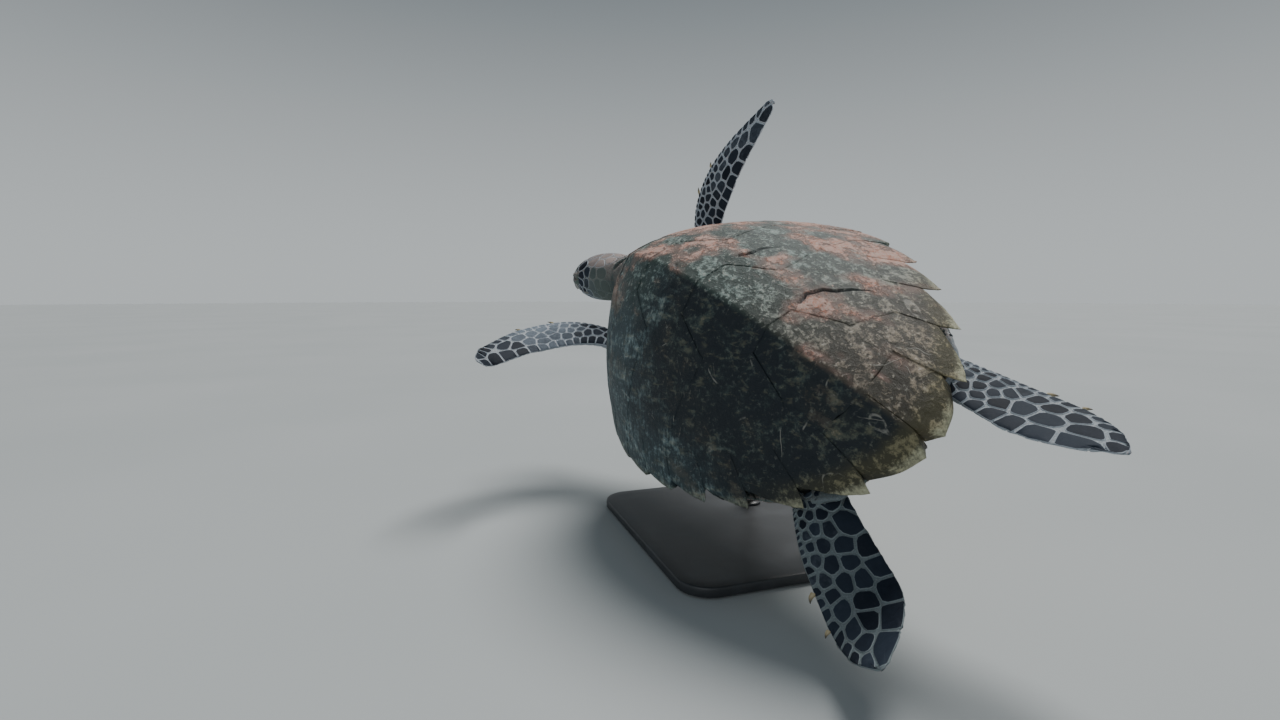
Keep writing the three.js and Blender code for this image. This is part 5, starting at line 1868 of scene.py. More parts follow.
@dataclass(frozen=True)
class FlipperScales:
    """The plates of one flipper: small along its leading edge, long and large towards its tip."""

    form: FlipperForm
    spacing: Stops  # how wide the plates are along the flipper
    lead_share: float = 0.75  # and how much narrower or wider at the leading edge
    trail_share: float = 1.25  # and at the trailing edge
    giants: tuple[tuple[float, float, float], ...] = ()  # single large plates: along, across and width
    start: float = 0.10
    end: float = 0.985
    rim: float = 1.3  # how far the plates keep from the blade's edge
    gap: float = 1.7  # the width of the grooves between them
    reach: float = 34.0  # the most that a plate goes from its middle
    tries: int = 2600
    stretch: Stops = ((0, 1.0), (0.45, 1.1), (0.75, 1.6), (1, 1.8))

    def width(self, u: float, v: float) -> float:
        """How wide the plates are at a place of the flattened plan."""
        s = u / self.form.length
        across = np.clip(v / self.form.half_chord(s), -1, 1)
        edges = np.interp(across, [-1, 0, 1], [self.trail_share, 1, self.lead_share])
        return float(read_profile(self.spacing, s) * edges)

    def seeds(self, rng: np.random.Generator) -> Array:
        """The plates on the plan, as rows of place along, place across, width and stretch."""
        length = self.form.length
        rows = [(s * length, across * float(self.form.half_chord(s)), wide, 1.2)
                for s, across, wide in self.giants]

        def offer(u: float, v: float, closest: float) -> None:
            """Adds a plate where it keeps away from all the others."""
            wide, longer = self.width(u, v), float(read_profile(self.stretch, u / length))
            taken = np.array(rows).reshape(-1, 4)
            gap = np.hypot((taken[:, 0] - u) / longer, taken[:, 1] - v)
            if (gap > (taken[:, 2] + wide) / 2 * closest).all():
                rows.append((u, v, wide, longer))

        for sign in (1.0, -1.0):
            u = self.start * length
            while u < length * self.end:
                half = float(self.form.half_chord(u / length))
                wide = self.width(u, sign * half)
                offer(u, sign * max(half - wide * 0.42, 0), 0.8)
                u += wide * float(read_profile(self.stretch, u / length)) * rng.uniform(0.9, 1.15)
        for share, across in rng.uniform((self.start, -0.96), (0.98, 0.96), (self.tries, 2)):
            offer(share * length, across * float(self.form.half_chord(share)), 0.94)
        return np.array(rows)

    def add(self, sheet: Sheet, surface: SkinSurface, seed: int) -> None:
        """Adds the plates of both faces."""
        form = self.form
        for face in Face:
            rng = np.random.default_rng(seed + (10 if face is Face.OVER else 0))
            seeds = self.seeds(rng)
            for place, cell in zip(seeds, cells_round(seeds, self.gap, self.reach)):
                if len(cell) < 6:
                    continue
                s = np.clip(place[0] / form.length, 0, 1)
                half = form.half_chord(np.clip(cell[:, 0] / form.length, 0, 0.99)) - self.rim
                along = np.clip(cell[:, 0], form.length * (self.start - 0.04), form.length * self.end)
                cell = np.column_stack([along, np.clip(cell[:, 1], -half, half)])
                across = np.clip(place[1] / form.half_chord(s), -1, 1)
                bake = form.bake_place(np.atleast_1d(s), np.atleast_1d(across), face)[0]
                shape = ScaleShape(height=float(np.interp(s, [0, 0.2, 1], [0.8, 1.1, 0.7])))
                shape.add(sheet, cell, lambda plan, f=face: form.on_plan(plan, f), surface, bake, {
                    "tone": rng.uniform(0, 1), "warm": 0.0, "rear": 0.0, "bright": form.pale,
                    "dark": float(form.darkness(s, across)) * rng.uniform(0.8, 1.15)})


@dataclass(frozen=True)
class HeadScales:
    """The named plates of the head, drawn as seeds on a flat plan of it: place along, angle off the crown."""

    gauge: float = 46.0  # the head's radius that the plan is drawn at
    wide: float = 24.0  # how wide the plates are, before they cut each other off
    reach: float = 16.0
    gap: float = 1.7
    border: float = 1.5
    off_eye: float = 18.0  # how far the plates keep from the eye's middle
    off_mouth: float = 1.5
    off_beak: float = 1.5
    middle: tuple[tuple[float, float], ...] = ((1, 0.55), (-19, 0.45), (-52, 0.35))
    pairs: tuple[tuple[float, float, float], ...] = (
        (27, 13, 0.7), (13, 15, 0.62), (-3, 38, 0.9), (-33, 25, 0.40), (-55, 27, 0.30), (-24, 58, 0.85),
        (-44, 62, 0.3), (-9, 66, 0.9), (-63, 58, 0.2), (-68, 12, 0.2), (34, 42, 0.95), (36, 66, 0.95),
        (-3, 84, 0.95), (-7, 104, 0.9), (7, 104, 0.9), (21, 106, 0.85), (34, 100, 0.9),
        (-20, 84, 0.7), (-22, 108, 0.5), (-38, 90, 0.3), (-38, 116, 0.25), (-54, 86, 0.15), (-56, 108, 0.12),
        (-8, 124, 0.6), (7, 125, 0.75), (21, 125, 0.8), (35, 126, 0.8), (0, 141, 0.5), (17, 142, 0.6),
        (33, 142, 0.6), (-24, 132, 0.25), (-44, 138, 0.12), (-68, 92, 0.08), (-70, 126, 0.08))

    def plan_seeds(self) -> tuple[Array, Array]:
        """The plates' middles on the plan and how dark each one is."""
        rows = [(x, 0.0, dark) for x, dark in self.middle]
        rows += [(x, side * turn, dark) for x, turn, dark in self.pairs for side in (1, -1)]
        rows = np.array(rows)
        seeds = np.tile([0.0, 0.0, self.wide, 1.0], (len(rows), 1))
        seeds[:, 0], seeds[:, 1] = rows[:, 0], np.radians(rows[:, 1]) * self.gauge
        return seeds, rows[:, 2]

    def place(self, plan: Array) -> tuple[Array, Array]:
        """Plan places as body places and normals."""
        spots, normals = HEAD.surface(plan[:, 0], np.pi / 2 - plan[:, 1] / self.gauge, -HEAD.coat)
        return HEAD.to_body(spots), unit(normals @ HEAD.matrix().T)

    def clear(self, cell: Array) -> Array:
        """Draws a plate back from the eye, the mouth and the beak."""
        spots, _ = HEAD.surface(cell[:, 0], np.pi / 2 - cell[:, 1] / self.gauge)
        side = np.sign(cell[:, 1].mean()) or 1.0
        gap = spots - np.array(HEAD.eye) * (1, side, 1)
        away = np.linalg.norm(gap, axis=1)
        push = np.clip(self.off_eye - away, 0, 9)
        way = unit(np.column_stack([gap[:, 0], -side * gap[:, 2]]))
        cell = cell + way * push[:, None]
        over = HEAD.beak_share(cell[:, 0], spots[:, 2]) + self.off_beak
        cell[:, 0] -= np.clip(over, 0, 12)
        mouth = (np.pi / 2 - HEAD.mouth_turn(cell[:, 0])) * self.gauge
        turn = np.abs(cell[:, 1])
        if turn.mean() < mouth.mean():
            parted = np.minimum(turn, mouth - self.off_mouth)
        else:
            parted = np.maximum(turn, mouth + self.off_mouth)
        if turn.min() > 10:
            cell[:, 1] = side * np.where(cell[:, 0] > HEAD.mouth_back, parted, turn)
        return cell

    def add(self, sheet: Sheet, surface: SkinSurface) -> None:
        """Adds every plate of the head."""
        rng = np.random.default_rng(5)
        seeds, darkness = self.plan_seeds()
        for seed, dark, cell in zip(seeds, darkness, cells_round(seeds, self.gap, self.reach)):
            if len(cell) < 6:
                continue
            rear = float(smooth_step(-2, -48, seed[0]))
            cell = self.clear(cell)
            finer = np.stack([cell, (cell + np.roll(cell, -1, axis=0)) / 2], 1).reshape(-1, 2)
            bake = np.array([0.1 + 0.3 * (seed[0] + 90) / 180, 0.62 + 0.3 * (seed[1] / (np.pi * self.gauge))])
            shape = ScaleShape(height=1.1 - 0.6 * rear, border=self.border)
            shape.add(sheet, finer, self.place, surface, bake, {
                "tone": rng.uniform(0, 1), "dark": dark * 0.95, "rear": rear, "bright": 1.0,
                # Plates near the crown turn pink: painted light from above.
                "warm": float(smooth_step(62, 30, abs(seed[1]) / self.gauge * 57.3))})


@dataclass(frozen=True)
class PebbleScales:
    """The small scales of the neck, the shoulders, the groin and the tail, spread by Geometry Nodes."""

    spacing: float = 4.3  # between middles, in millimetres
    density: float = 90000.0  # the most points for each square metre
    radius: float = 2.5
    crown: float = 1.6  # the radius of the flat top
    depth: float = 1.15
    sunk: float = 0.45  # how far the middle of that depth lies under the skin
    corners: int = 7
    sizes: tuple[float, float] = (0.72, 1.12)
    seed: int = 7
    limb: tuple[float, float] = (0.135, 0.10)  # from and to where they fade out along a flipper

    def tree(self, material: Material) -> NodeTree:
        """The node tree: points on the skin, a small bevelled scale on each, laid along the surface."""
        tree = bpy.data.node_groups.new("pebble_scales", "GeometryNodeTree")
        for name, kind, way in (("Geometry", "Geometry", "INPUT"), ("Spacing", "Float", "INPUT"),
                                ("Size", "Float", "INPUT"), ("Seed", "Int", "INPUT"),
                                ("Geometry", "Geometry", "OUTPUT")):
            tree.interface.new_socket(name, in_out=way, socket_type=f"NodeSocket{kind}")

        def node(kind: str, inputs: Inputs, **settings: object) -> Sequence[NodeSocket]:
            """Adds a node and gives its outputs."""
            return add_node(tree, kind, inputs, **settings).outputs

        given = node("NodeGroupInput", {})
        where = node("GeometryNodeInputNamedAttribute", {"Name": "pebble"}, data_type="FLOAT")
        spread = node("GeometryNodeDistributePointsOnFaces", {
            "Mesh": given["Geometry"], "Distance Min": given["Spacing"], "Density Max": self.density,
            "Density Factor": where["Attribute"], "Seed": given["Seed"]}, distribute_method="POISSON")
        scale = node("GeometryNodeMeshCone", {
            "Vertices": self.corners, "Radius Top": self.crown * MM, "Radius Bottom": self.radius * MM,
            "Depth": self.depth * MM}, fill_type="NGON")
        lower = node("GeometryNodeTransform", {
            "Geometry": scale["Mesh"], "Translation": (0, 0, -self.sunk * MM)})
        local = node("GeometryNodeInputPosition", {})
        patch = node("GeometryNodeStoreNamedAttribute", {
            "Geometry": lower["Geometry"], "Name": "patch", "Value": local["Position"]},
            data_type="FLOAT_VECTOR", domain="POINT")
        vary = node("FunctionNodeRandomValue", dict(zip((2, 3), self.sizes)), data_type="FLOAT")
        size = node("ShaderNodeMath", {0: vary[1], 1: given["Size"]}, operation="MULTIPLY")
        placed = node("GeometryNodeInstanceOnPoints", {
            "Points": spread["Points"], "Instance": patch["Geometry"], "Rotation": spread["Rotation"],
            "Scale": size[0]})
        real = node("GeometryNodeRealizeInstances", {"Geometry": placed["Instances"]})
        dressed = node("GeometryNodeSetMaterial", {"Geometry": real["Geometry"], "Material": material})
        node("NodeGroupOutput", {"Geometry": dressed["Geometry"]})
        return tree

    def cover(self, points: Array) -> Array:
        """Where the small scales grow on the skin, from 0 to 1."""
        x, y, z = points.T
        shown, limb_shown = SHELL.share_out(x, y) > 0.80, SHELL.share_out(x, y) > 0.68
        head = HEAD.from_body(points)
        s, away = NECK.locate(points)
        neck = (away < 70) & (x > 322) & (head[:, 0] < -76)
        within = np.hypot(x / SHELL.half, y / SHELL.half_width) < 1.02
        flank = shown & (z < SHELL.rim_height(x) - 7) & within
        cover = (neck | flank).astype(float)
        for form in FLIPPERS:
            s, _, away = form.locate(points)
            near = (away < 52) & ((s > 0.005) | (away < 30))
            cover = np.where(near & limb_shown, np.maximum(cover, smooth_step(*self.limb, s)), cover)
            cover = np.where(near & (s >= self.limb[0]), 0.0, cover)
        s, away = TAIL.locate(points)
        return np.maximum(cover, (away < 26) & (x < -285))

    @staticmethod
    def unwrap(points: Array) -> tuple[Array, Array]:
        """Where each place of the skin lies on its own flat unwrap: round the body and along it."""
        x, y, z = points.T
        turn = np.arctan2(z + 30, y) / (2 * np.pi) + 0.5
        return 0.02 + 0.46 * turn, 0.30 + 0.30 * (x + 500) / 1130

    def marks(self, points: Array, topside: Array) -> dict[str, Array | float]:
        """The marks of the scales: where they grow, their bake places and what their finish reads."""
        u, v = self.unwrap(points)
        limb = np.zeros(len(points))
        for form in FLIPPERS:
            s, across, away = form.locate(points)
            limb = np.maximum(limb, (away < 50) * smooth_step(0.04, 0.15, s) * form.darkness(s, across))
        # Painted light from above on the top of the neck; below is the real pale underside.
        above = np.clip(topside * 1.1 - 0.35, 0, 0.8) * smooth_step(330, 380, points[:, 0])
        below = 0.95 * smooth_step(0.05, -0.45, topside)
        return {
            "pebble": self.cover(points), "bake_u": u, "bake_v": v, "tone": value_noise(points, 3.0, 90),
            "rear": 1.0, "bright": 1.0, "rim": 0.25, "dark": np.maximum(0.35 * (1 - limb), limb * 0.9),
            "warm": np.maximum(above, below) * (1 - limb)}

    def build(self, skin: Object, material: Material) -> None:
        """Makes the piece from a copy of the skin."""
        base = skin.copy()
        base.data = skin.data.copy()
        base.name = "pebble_base"
        base.parent = None
        bpy.context.scene.collection.objects.link(base)
        points, _ = model_mesh(base)
        for name, values in self.marks(points, read_mark(base.data, "topside")).items():
            write_mark(base.data, name, np.broadcast_to(values, len(points)))
        modifier = base.modifiers.new("pebbles", "NODES")
        modifier.node_group = self.tree(material)
        values = {"Spacing": self.spacing * MM, "Size": 1.0, "Seed": self.seed}
        for item in modifier.node_group.interface.items_tree:
            if item.in_out == "INPUT" and item.name in values:
                modifier[item.identifier] = values[item.name]
        piece = evaluated(base, "scales_small")
        self.patch_map(piece)
        publish(piece, material, "skin")

    def patch_map(self, piece: Object) -> None:
        """Adds each scale's own small patch to its root's place in the bake map."""
        mesh = piece.data
        patch = np.zeros(len(mesh.vertices) * 3)
        mesh.attributes["patch"].data.foreach_get("vector", patch)
        patch = patch.reshape(-1, 3)[:, :2] / (self.radius * MM) * BAKE_PATCH / 2
        for name, offset in zip(BAKE_MARKS, patch.T):
            write_mark(mesh, name, read_mark(mesh, name) + offset)
        mesh.attributes.remove(mesh.attributes["patch"])
        write_bake_map(piece)


@dataclass(frozen=True)
class Coat:
    """All the scales over the skin."""

    flippers: tuple[FlipperScales, ...] = (
        FlipperScales(FRONT_LEFT, ((0, 15), (0.3, 15), (0.5, 14), (0.65, 17), (0.8, 21), (1, 20))),
        FlipperScales(FRONT_RIGHT, ((0, 17), (0.3, 15), (0.5, 13), (0.7, 15), (0.85, 17), (1, 17)),
                      lead_share=0.62, trail_share=1.45),
        FlipperScales(HIND_LEFT, ((0, 8), (0.2, 10), (0.4, 14), (0.65, 18), (1, 18)),
                      lead_share=0.62, trail_share=1.5,
                      giants=((0.19, -0.42, 25.0), (0.30, -0.62, 24.0), (0.14, -0.78, 13.0))),
        FlipperScales(HIND_RIGHT, ((0, 7), (0.2, 9), (0.4, 14), (0.6, 18), (1, 18)),
                      lead_share=0.65, trail_share=1.3, giants=((0.17, -0.72, 17.0),)),
    )
    seed: int = 40

    @staticmethod
    def make(sheet: Sheet, name: str, material: Material, slot: str) -> None:
        """Makes one coat piece with its bake map."""
        piece = sheet.build(f"scales_{name}")
        write_bake_map(piece)
        publish(piece, material, slot)

    def build(self, skin: Object) -> None:
        """Makes the coat pieces."""
        surface = SkinSurface(skin)
        plates = ScaleFinish().make()
        for number, scales in enumerate(self.flippers):
            sheet = Sheet()
            scales.add(sheet, surface, self.seed + number)
            self.make(sheet, scales.form.name, plates, "flipper_skin")
        sheet = Sheet()
        HeadScales().add(sheet, surface)
        self.make(sheet, "head", ScaleFinish("scale_head").make(), "skin")
        PebbleScales().build(skin, ScaleFinish("scale_small").make())


# ---- The beak and the claws ----


@dataclass(frozen=True)
class BeakFinish:
    """Beak horn: olive-grey at its root, dark slate to the tip, streaked along its growth."""

    root: Colour = paint(0x59625C)
    tan: Colour = paint(0x7B7664)
    slate: Colour = paint(0x1C252D)
    pale: Colour = paint(0xA9ABA0)

    def make(self) -> Material:
        """The material, which reads the beak's marks."""
        f = Finish("beak")
        front, turn, lip = f.mark("front"), f.mark("turn"), f.mark("lip")
        fibres = f.noise(1.0, 4, 0.6, at=f.vector(front * 5.0, turn * 26.0))
        bands = f.noise(1.0, 4, 0.6, 0.4, at=f.vector(front * 7.0, turn * 3.0))
        spots = f.noise(3.0, 4, 0.65)
        colour = f.mix(f.rise(bands, 0.42, 0.6), self.root, self.tan)
        colour = f.mix(f.rise(front + (fibres - 0.5) * 0.7, 0.10, 0.55), colour, self.slate)
        colour = f.mix(f.rise(fibres, 0.58, 0.7) * 0.35, colour, self.pale)
        colour = f.mix(f.rise(spots, 0.6, 0.7) * 0.25, colour, self.pale)
        colour = f.mix(f.rise(lip, 0.25, 0.0) * 0.3, colour, self.tan)
        f.bump(fibres, 0.35, 0.6)
        f.bump(spots, 0.25, 0.5)
        return f.done(colour, spots * 0.25 + 0.24)


@dataclass(frozen=True)
class Beak:
    """The two horny halves of the beak, closed on each other."""

    around: int = 80  # points round each half
    along: int = 72  # and along it
    tip: float = 86.0
    lower_tip: float = 79.0
    horn: float = 0.5  # how far it stands out of the head's form
    lower_in: float = 0.9  # how far the lower half lies inside it
    overlap: float = 1.5  # how far the upper edge hangs over the lower half
    hook: float = 3.6
    nostril: tuple[float, float] = (60.0, 6.5)
    wall: float = 1.5  # how thick the horn is
    rings: tuple[float, float] = (0.16, 5.2)  # the growth rings: their depth and spacing

    def grid(self, upper: bool) -> tuple[Array, Array]:
        """Places along the head and angles round it of one half, as rows from its back edge to its tip."""
        step = np.linspace(0, 1, self.along)[:, None]
        share = 1 - (1 - step) ** 1.7
        across = np.linspace(0, 1, self.around)[None]
        tip = self.tip if upper else self.lower_tip
        x = HEAD.beak_front + share * (tip - HEAD.beak_front) + 0 * across
        for _ in range(6):
            edge = HEAD.mouth_turn(x)
            turn = edge + across * (np.pi - 2 * edge) if upper else edge - across * (np.pi + 2 * edge)
            z = HEAD.surface(x, turn)[0][:, 2].reshape(x.shape)
            back = HEAD.beak_front - 0.25 * (z - HEAD.mouth_height) - 0.6
            x = back + share * (tip - back)
        return x, turn

    def nostrils(self, bare: Array) -> Array:
        """How far the two nostrils lower or lift each place of the upper half."""
        lift = np.zeros(bare.shape[:-1])
        for _, side in SIDES:
            gap = np.hypot(bare[..., 0] - self.nostril[0], bare[..., 1] - side * self.nostril[1])
            over = bare[..., 2] > 5
            lift += over * (0.7 * np.exp(-((gap - 3.4) / 1.3) ** 2) - 3.0 * np.exp(-(gap / 1.9) ** 2))
        return lift

    def inner(self, edge: Array, thick: Array, way: float) -> Array:
        """The inner corner of the wall that stands on one edge of a half."""
        aside = -np.sign(edge[:, 1:2]) * thick
        return edge + np.column_stack([-0.2 + 0 * thick, aside, 0 * thick + 2.4 * way])

    def half(self, sheet: Sheet, upper: bool) -> None:
        """Adds one half as a closed solid."""
        x, turn = self.grid(upper)
        bare = HEAD.surface(x, turn)[0].reshape(*x.shape, 3)
        ahead = HEAD.beak_share(bare[..., 0], bare[..., 2])
        lift = np.full(x.shape, self.horn if upper else -self.lower_in)
        deep, spacing = self.rings
        lift += deep * np.sin(2 * np.pi * ahead / spacing) * smooth_step(34, 8, ahead)
        lift -= 0.9 * smooth_step(2.2, 0.0, ahead)
        if upper:
            lift += self.nostrils(bare)
        outer = HEAD.surface(x, turn, lift.ravel())[0].reshape(*x.shape, 3)
        if upper:
            outer[..., 2] -= self.hook * smooth_step(60, 86, x) ** 1.5
        left, right = outer[:, 0].copy(), outer[:, -1].copy()
        if upper:
            for rim in (left, right):
                rim[:, 2] -= self.overlap
        thick = np.minimum(self.wall, np.abs(left[:, 1]) * 0.4)[:, None]
        inner = [self.inner(edge, thick, 1.0 if upper else -1.0)[:, None] for edge in (left, right)]
        span = np.linspace(0, 1, 10)[None, :, None]
        roof = inner[1] * (1 - span) + inner[0] * span
        parts = [left[:, None], outer, right[:, None], roof] if upper else [outer, roof]
        rings = np.concatenate(parts, axis=1)
        flat = rings.reshape(-1, 3)
        x, y, z = flat.T
        sheet.loft(HEAD.to_body(flat).reshape(rings.shape), front=HEAD.beak_share(x, z) / 45,
                   turn=np.arctan2(z + 20, y), lip=np.abs(z - HEAD.mouth_at(x)) / 12)

    def build(self, material: Material) -> None:
        """Makes both halves."""
        for name, upper in (("upper", True), ("lower", False)):
            sheet = Sheet()
            self.half(sheet, upper)
            piece = sheet.build(f"beak_{name}")
            face_outward(piece)
            publish(piece, material, "beak", [f"{name}_beak"])


def face_outward(piece: Object) -> None:
    """Turns a closed piece's faces outward."""
    mesh = bmesh.new()
    mesh.from_mesh(piece.data)
    bmesh.ops.recalc_face_normals(mesh, faces=mesh.faces)
    if mesh.calc_volume(signed=True) < 0:
        bmesh.ops.reverse_faces(mesh, faces=mesh.faces)
    mesh.to_mesh(piece.data)
    mesh.free()
    piece.data.update()


@dataclass(frozen=True)
class ClawFinish:
    """Claw horn: tan at the root, darker to the point, with fine lines along it."""

    tan: Colour = paint(0xA39676)
    dark: Colour = paint(0x3A342A)

    def make(self) -> Material:
        """The material, which reads the claws' marks."""
        f = Finish("claw")
        front, turn = f.mark("front"), f.mark("turn")
        fibres = f.noise(1.0, 4, 0.6, at=f.vector(front * 3.0, turn * 9.0))
        colour = f.mix(f.rise(front + (fibres - 0.5) * 0.5, 0.25, 0.95), self.tan, self.dark)
        f.bump(fibres, 0.2, 0.6)
        return f.done(colour, 0.34)


@dataclass(frozen=True)
class Claws:
    """The eight claws, two on each flipper's leading edge, each bowed towards the flipper's tip."""

    sides: int = 18  # points round a claw
    steps: int = 20  # and along it
    bow: float = 0.16
    flat: float = 0.82  # how much thinner it is than wide

    def rings(self, form: FlipperForm, points: Array) -> Array:
        """Rings of one claw, from its root to its point, over the corners of its solid."""
        tip = points[np.linalg.norm(points - points.mean(0), axis=1).argmax()]
        base = points[np.linalg.norm(points - tip, axis=1) > 4]
        root = base.mean(0)
        radius = np.linalg.norm(base - root, axis=1).mean()
        s, _, _ = form.locate(root[None])
        along = form.spine.way(s)[0]
        axis = tip - root
        length = np.linalg.norm(axis)
        axis = axis / length
        bow = unit(along - axis * (along @ axis))
        third = np.cross(axis, bow)
        share = np.linspace(0, 1, self.steps)[:, None, None]
        turn = full_turn(self.sides)[None, :, None]
        middle = root + axis * length * share - bow * length * self.bow * np.sin(np.pi * share)
        wide = radius * np.maximum(1 - share, 0) ** 0.75 + 0.12
        return middle + wide * (np.cos(turn) * bow + self.flat * np.sin(turn) * third)

    def build(self, material: Material) -> None:
        """Makes every claw over its solid."""
        share, turn = np.linspace(0, 1, self.steps), full_turn(self.sides)
        for form, number in product(FLIPPERS, (1, 2)):
            node = f"claw_{form.name}_{number}"
            sheet = Sheet()
            sheet.loft(self.rings(form, merged_node(node)[0]), front=np.repeat(share, self.sides),
                       turn=np.tile(turn, self.steps))
            piece = sheet.build(f"horn_{node}")
            face_outward(piece)
            publish(piece, material, "claw", [node])


# ---- The stand ----


@dataclass(frozen=True)
class StandFinish:
    """Dark satin paint on the base and the rods, and matt rubber pads."""

    coat: Colour = paint(0x2B2D30)
    worn: Colour = paint(0x383B3F)
    rubber: Colour = paint(0x141414)

    def make(self) -> Material:
        """The material, which reads which parts are rubber."""
        f = Finish("stand_paint")
        pad = f.mark("pad")
        peel, cloud = f.noise(0.8, 3, 0.55), f.noise(60, 4, 0.6)
        colour = f.mix(f.rise(cloud, 0.45, 0.7), self.coat, self.worn)
        colour = f.mix(pad, colour, self.rubber)
        f.bump(peel, 0.12, 0.6)
        return f.done(colour, cloud * 0.2 + (0.34 + pad * 0.35))


@dataclass(frozen=True)
class Stand:
    """A bevelled base on rubber feet, and two rods with collars and rubber pads under the belly."""

    size: tuple[float, float] = (400.0, 300.0)
    corner: float = 45.0
    height: float = 16.0
    feet: float = 2.5
    foot_place: tuple[float, float] = (150.0, 100.0)
    rod_radius: float = 9.0
    rod_places: tuple[tuple[str, float], ...] = (("front", 105.0), ("rear", -105.0))
    pad_radius: float = 15.0
    pad: float = 4.0
    gap: float = 0.4  # between the pads and the belly

    def outline(self, inset: float, height: float) -> Array:
        """The base's outline, drawn in from its edge, at one height."""
        half = np.array(self.size) / 2 - self.corner
        turns = np.linspace(0, np.pi / 2, 20)
        corners = []
        for q, signs in zip(np.arange(4) * np.pi / 2, ((1, 1), (-1, 1), (-1, -1), (1, -1))):
            arc = np.column_stack([np.cos(turns + q), np.sin(turns + q)])
            corners.append(half * signs + (self.corner - inset) * arc)
        plan = np.vstack(corners)
        return np.column_stack([plan, np.full(len(plan), height)])

    @staticmethod
    def turned(sheet: Sheet, place: Array, profile: Stops, pad: float, axis: Array) -> None:
        """Adds a turned solid, from its profile of radii and heights along an axis."""
        side = unit(np.cross(axis, (0.3, 1.0, 0.2)))
        third = np.cross(axis, side)
        turns = full_turn(48)[None, :, None]
        radius, height = (np.array(values)[:, None, None] for values in zip(*profile))
        rings = place + axis * height + radius * (np.cos(turns) * side + np.sin(turns) * third)
        sheet.loft(BODY.from_model(rings * MM), pad=pad)

    @staticmethod
    def make(sheet: Sheet, name: str, material: Material, node: str) -> None:
        """Makes one piece of the stand."""
        piece = sheet.build(name)
        face_outward(piece)
        publish(piece, material, "stand", [node])

    def build(self, material: Material) -> None:
        """Makes the base and both rods."""
        self.base(material)
        for name, along in self.rod_places:
            self.rod(name, along, material)

    def base(self, material: Material) -> None:
        """Makes the base with its feet."""
        sheet = Sheet()
        bevel = [(2.0, self.feet), (0.6, self.feet + 0.5), (0.0, self.feet + 1.6), (0.0, self.height - 2.6),
                 (0.5, self.height - 1.2), (1.4, self.height - 0.3), (2.8, self.height), (20.0, self.height)]
        rings = np.array([self.outline(inset, height) for inset, height in bevel])
        sheet.loft(BODY.from_model(rings * MM), pad=0.0)
        for signs in product((1, -1), (1, -1)):
            place = np.append(np.array(signs) * self.foot_place, 0.0)
            self.turned(sheet, place, ((11, 0), (12, 0.6), (12, self.feet - 0.05)), 1.0, UP)
        self.make(sheet, "base_plate", material, "stand_base")

    def rod(self, name: str, along: float, material: Material) -> None:
        """Makes one rod with its collar and its pad, which lies flat against the belly.

        Args:
            name: Which rod.
            along: Where on the belly it ends, along the body.
            material: Its finish.
        """
        node = f"stand_rod_{name}"
        normal = BODY.turn()[:, 2]
        low, high = (np.array(corner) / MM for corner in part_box(node))
        foot = np.append((low + high)[:2] / 2, self.height)
        belly = BODY.to_model(np.array([[along, 0.0, -Plastron.depth - self.gap]]))[0] / MM
        top = belly - normal * self.pad
        drop = (top - foot) @ normal / normal[2]
        turns = full_turn(48)
        circle = np.column_stack([np.cos(turns), np.sin(turns), turns * 0])
        slant = np.outer(drop - self.rod_radius * (circle @ normal) / normal[2], UP)
        collar = ((12, 0), (17, 0.01), (17.6, 0.6), (17.6, 3.2), (16.6, 4.2), (11.5, 4.6), (10.6, 5.4),
                  (self.rod_radius, 7.0), (self.rod_radius, 9.0))
        rings = [foot + circle * radius + UP * height for radius, height in collar]
        rings += [foot + circle * self.rod_radius + slant * share for share in (0.3, 0.6, 0.97, 1.0)]
        sheet = Sheet()
        sheet.loft(BODY.from_model(np.array(rings) * MM), pad=0.0)
        pad = ((self.rod_radius * 1.25, -3.0), (13.2, -0.6), (self.pad_radius, 0.0),
               (self.pad_radius, self.pad - 0.6), (14.2, self.pad))
        self.turned(sheet, foot + UP * drop, pad, 1.0, normal)
        self.make(sheet, f"rod_{name}", material, node)


# ---- The studio ----


@dataclass(frozen=True)
class Lamp:
    """A soft light: its kind, where it hangs, its size, its strength and its colour."""

    name: str
    kind: str
    place: tuple[float, float, float]
    size: float
    power: float
    colour: Colour = (1.0, 1.0, 1.0)

    def hang(self, target: Vector) -> None:
        """Hangs the light and aims it."""
        light = bpy.data.lights.new(self.name, self.kind)
        if self.kind == "SUN":
            light.angle = self.size
        else:
            light.shape, light.size = "DISK", self.size
        light.energy, light.color = self.power, self.colour
        holder = add_to_scene(self.name, light)
        holder.location = self.place
        holder.rotation_euler = (target - Vector(self.place)).to_track_quat("-Z", "Y").to_euler()


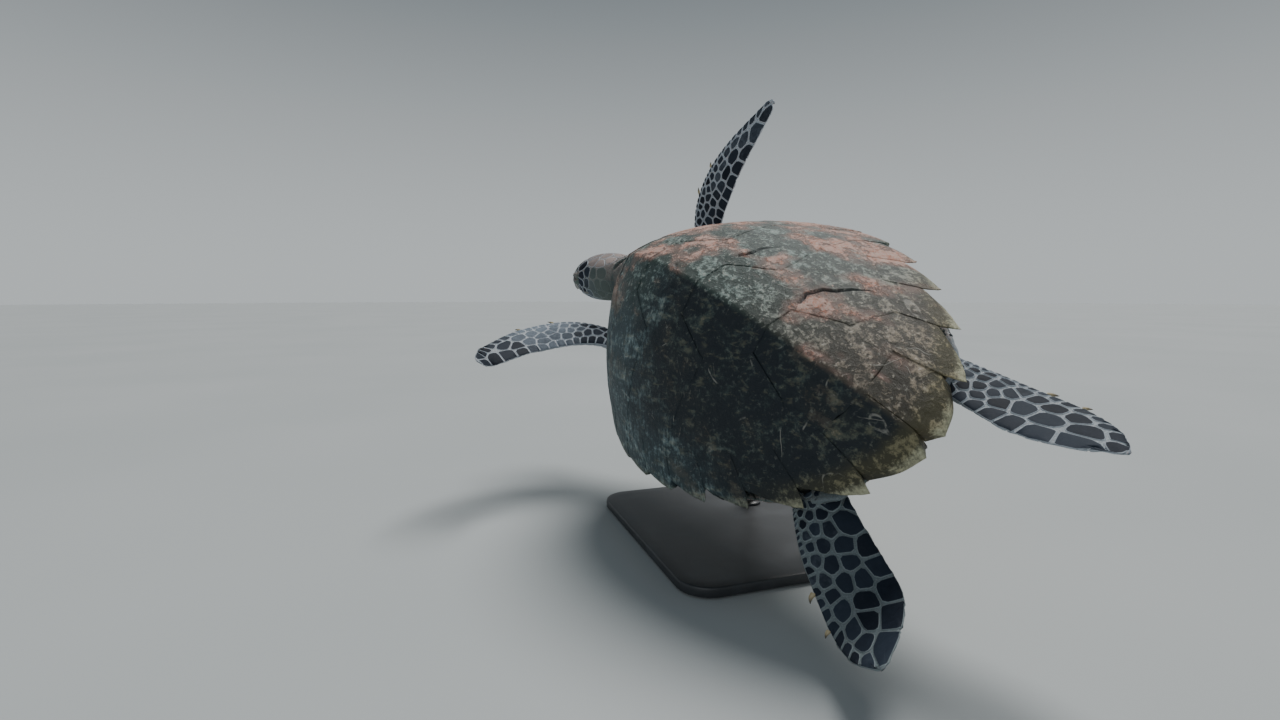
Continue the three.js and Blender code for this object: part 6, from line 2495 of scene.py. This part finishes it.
@dataclass(frozen=True)
class Studio:
    """The camera, the pale floor that runs into a pale backdrop, and the soft lights."""

    lens: float = 17.62
    sensor: float = 36.0
    camera_place: tuple[float, float, float] = (-0.861, 0.440, 0.373)
    camera_way: tuple[float, float, float] = (0.9405, -0.3234, -0.1047)
    target: tuple[float, float, float] = (0.05, -0.02, 0.32)
    horizon: Colour = paint(0xCDD3D5)
    zenith: Colour = paint(0x646F77)
    glow: float = 0.85  # the surround's strength
    floor_tones: tuple[Colour, Colour] = (paint(0xA5AAAB), paint(0xABAFB0))
    floor_reach: float = 30.0  # in metres
    floor_sides: int = 96
    lamps: tuple[Lamp, ...] = (
        Lamp("key", "SUN", (0.60, -0.72, 2.1), 0.45, 3.4, (1.0, 0.985, 0.96)),
        Lamp("fill", "AREA", (-1.7, 1.5, 1.0), 2.0, 9.0, (0.92, 0.97, 1.0)),
    )

    def build(self) -> None:
        """Makes the camera, the backdrop and the lights."""
        camera = bpy.data.cameras.new("camera")
        camera.lens, camera.sensor_width, camera.clip_start = self.lens, self.sensor, 0.01
        view = add_to_scene("camera", camera)
        view.location = self.camera_place
        view.rotation_euler = Vector(self.camera_way).to_track_quat("-Z", "Y").to_euler()
        bpy.context.scene.camera = view
        for lamp in self.lamps:
            lamp.hang(Vector(self.target))
        self.backdrop()
        self.floor()

    def backdrop(self) -> None:
        """A pale surround that darkens softly with height."""
        world = bpy.data.worlds.new("studio")
        world.use_nodes = True
        tree = world.node_tree
        place = add_node(tree, "ShaderNodeTexCoord").outputs["Generated"]
        height = add_node(tree, "ShaderNodeSeparateXYZ", {0: place}).outputs["Z"]
        rise = add_node(tree, "ShaderNodeMapRange", {"Value": height, "From Min": 0.02, "From Max": 0.62},
                        interpolation_type="SMOOTHSTEP").outputs[0]
        blend = add_node(tree, "ShaderNodeMix", {0: rise, 6: self.horizon, 7: self.zenith}, data_type="RGBA")
        surround = tree.nodes["Background"]
        feed(tree, surround.inputs["Color"], blend.outputs[2])
        feed(tree, surround.inputs["Strength"], self.glow)
        bpy.context.scene.world = world

    def floor(self) -> None:
        """A pale matt floor, wide enough to reach the horizon from every side."""
        f = Finish("studio_floor")
        f.bump(f.noise(3, 3, 0.5), 0.1, 0.3)
        cloud = f.rise(f.noise(900, 2, 0.5), 0.2, 0.8)
        material = f.done(f.mix(cloud, *self.floor_tones), 0.8)
        mesh = bpy.data.meshes.new("studio_floor")
        turn = full_turn(self.floor_sides)
        rim = np.column_stack([np.cos(turn) * self.floor_reach, np.sin(turn) * self.floor_reach, turn * 0])
        mesh.from_pydata(rim.tolist(), [], [tuple(range(self.floor_sides))])
        mesh.materials.append(material)
        plane = add_to_scene("studio_floor", mesh)


def main() -> None:
    """Builds the turtle, its stand and the studio in order."""
    Studio().build()
    Carapace().build(ShellFinish().make())
    MarginalRing().build(ShellFinish("shell_margin", margin=True).make())
    Plastron().build(BellyFinish().make())
    skin = Skin().build(SkinFinish().make())
    EYES.build(EyeFinish().make())
    Coat().build(skin)
    Beak().build(BeakFinish().make())
    Claws().build(ClawFinish().make())
    Stand().build(StandFinish().make())


if __name__ == "__main__":
    main()
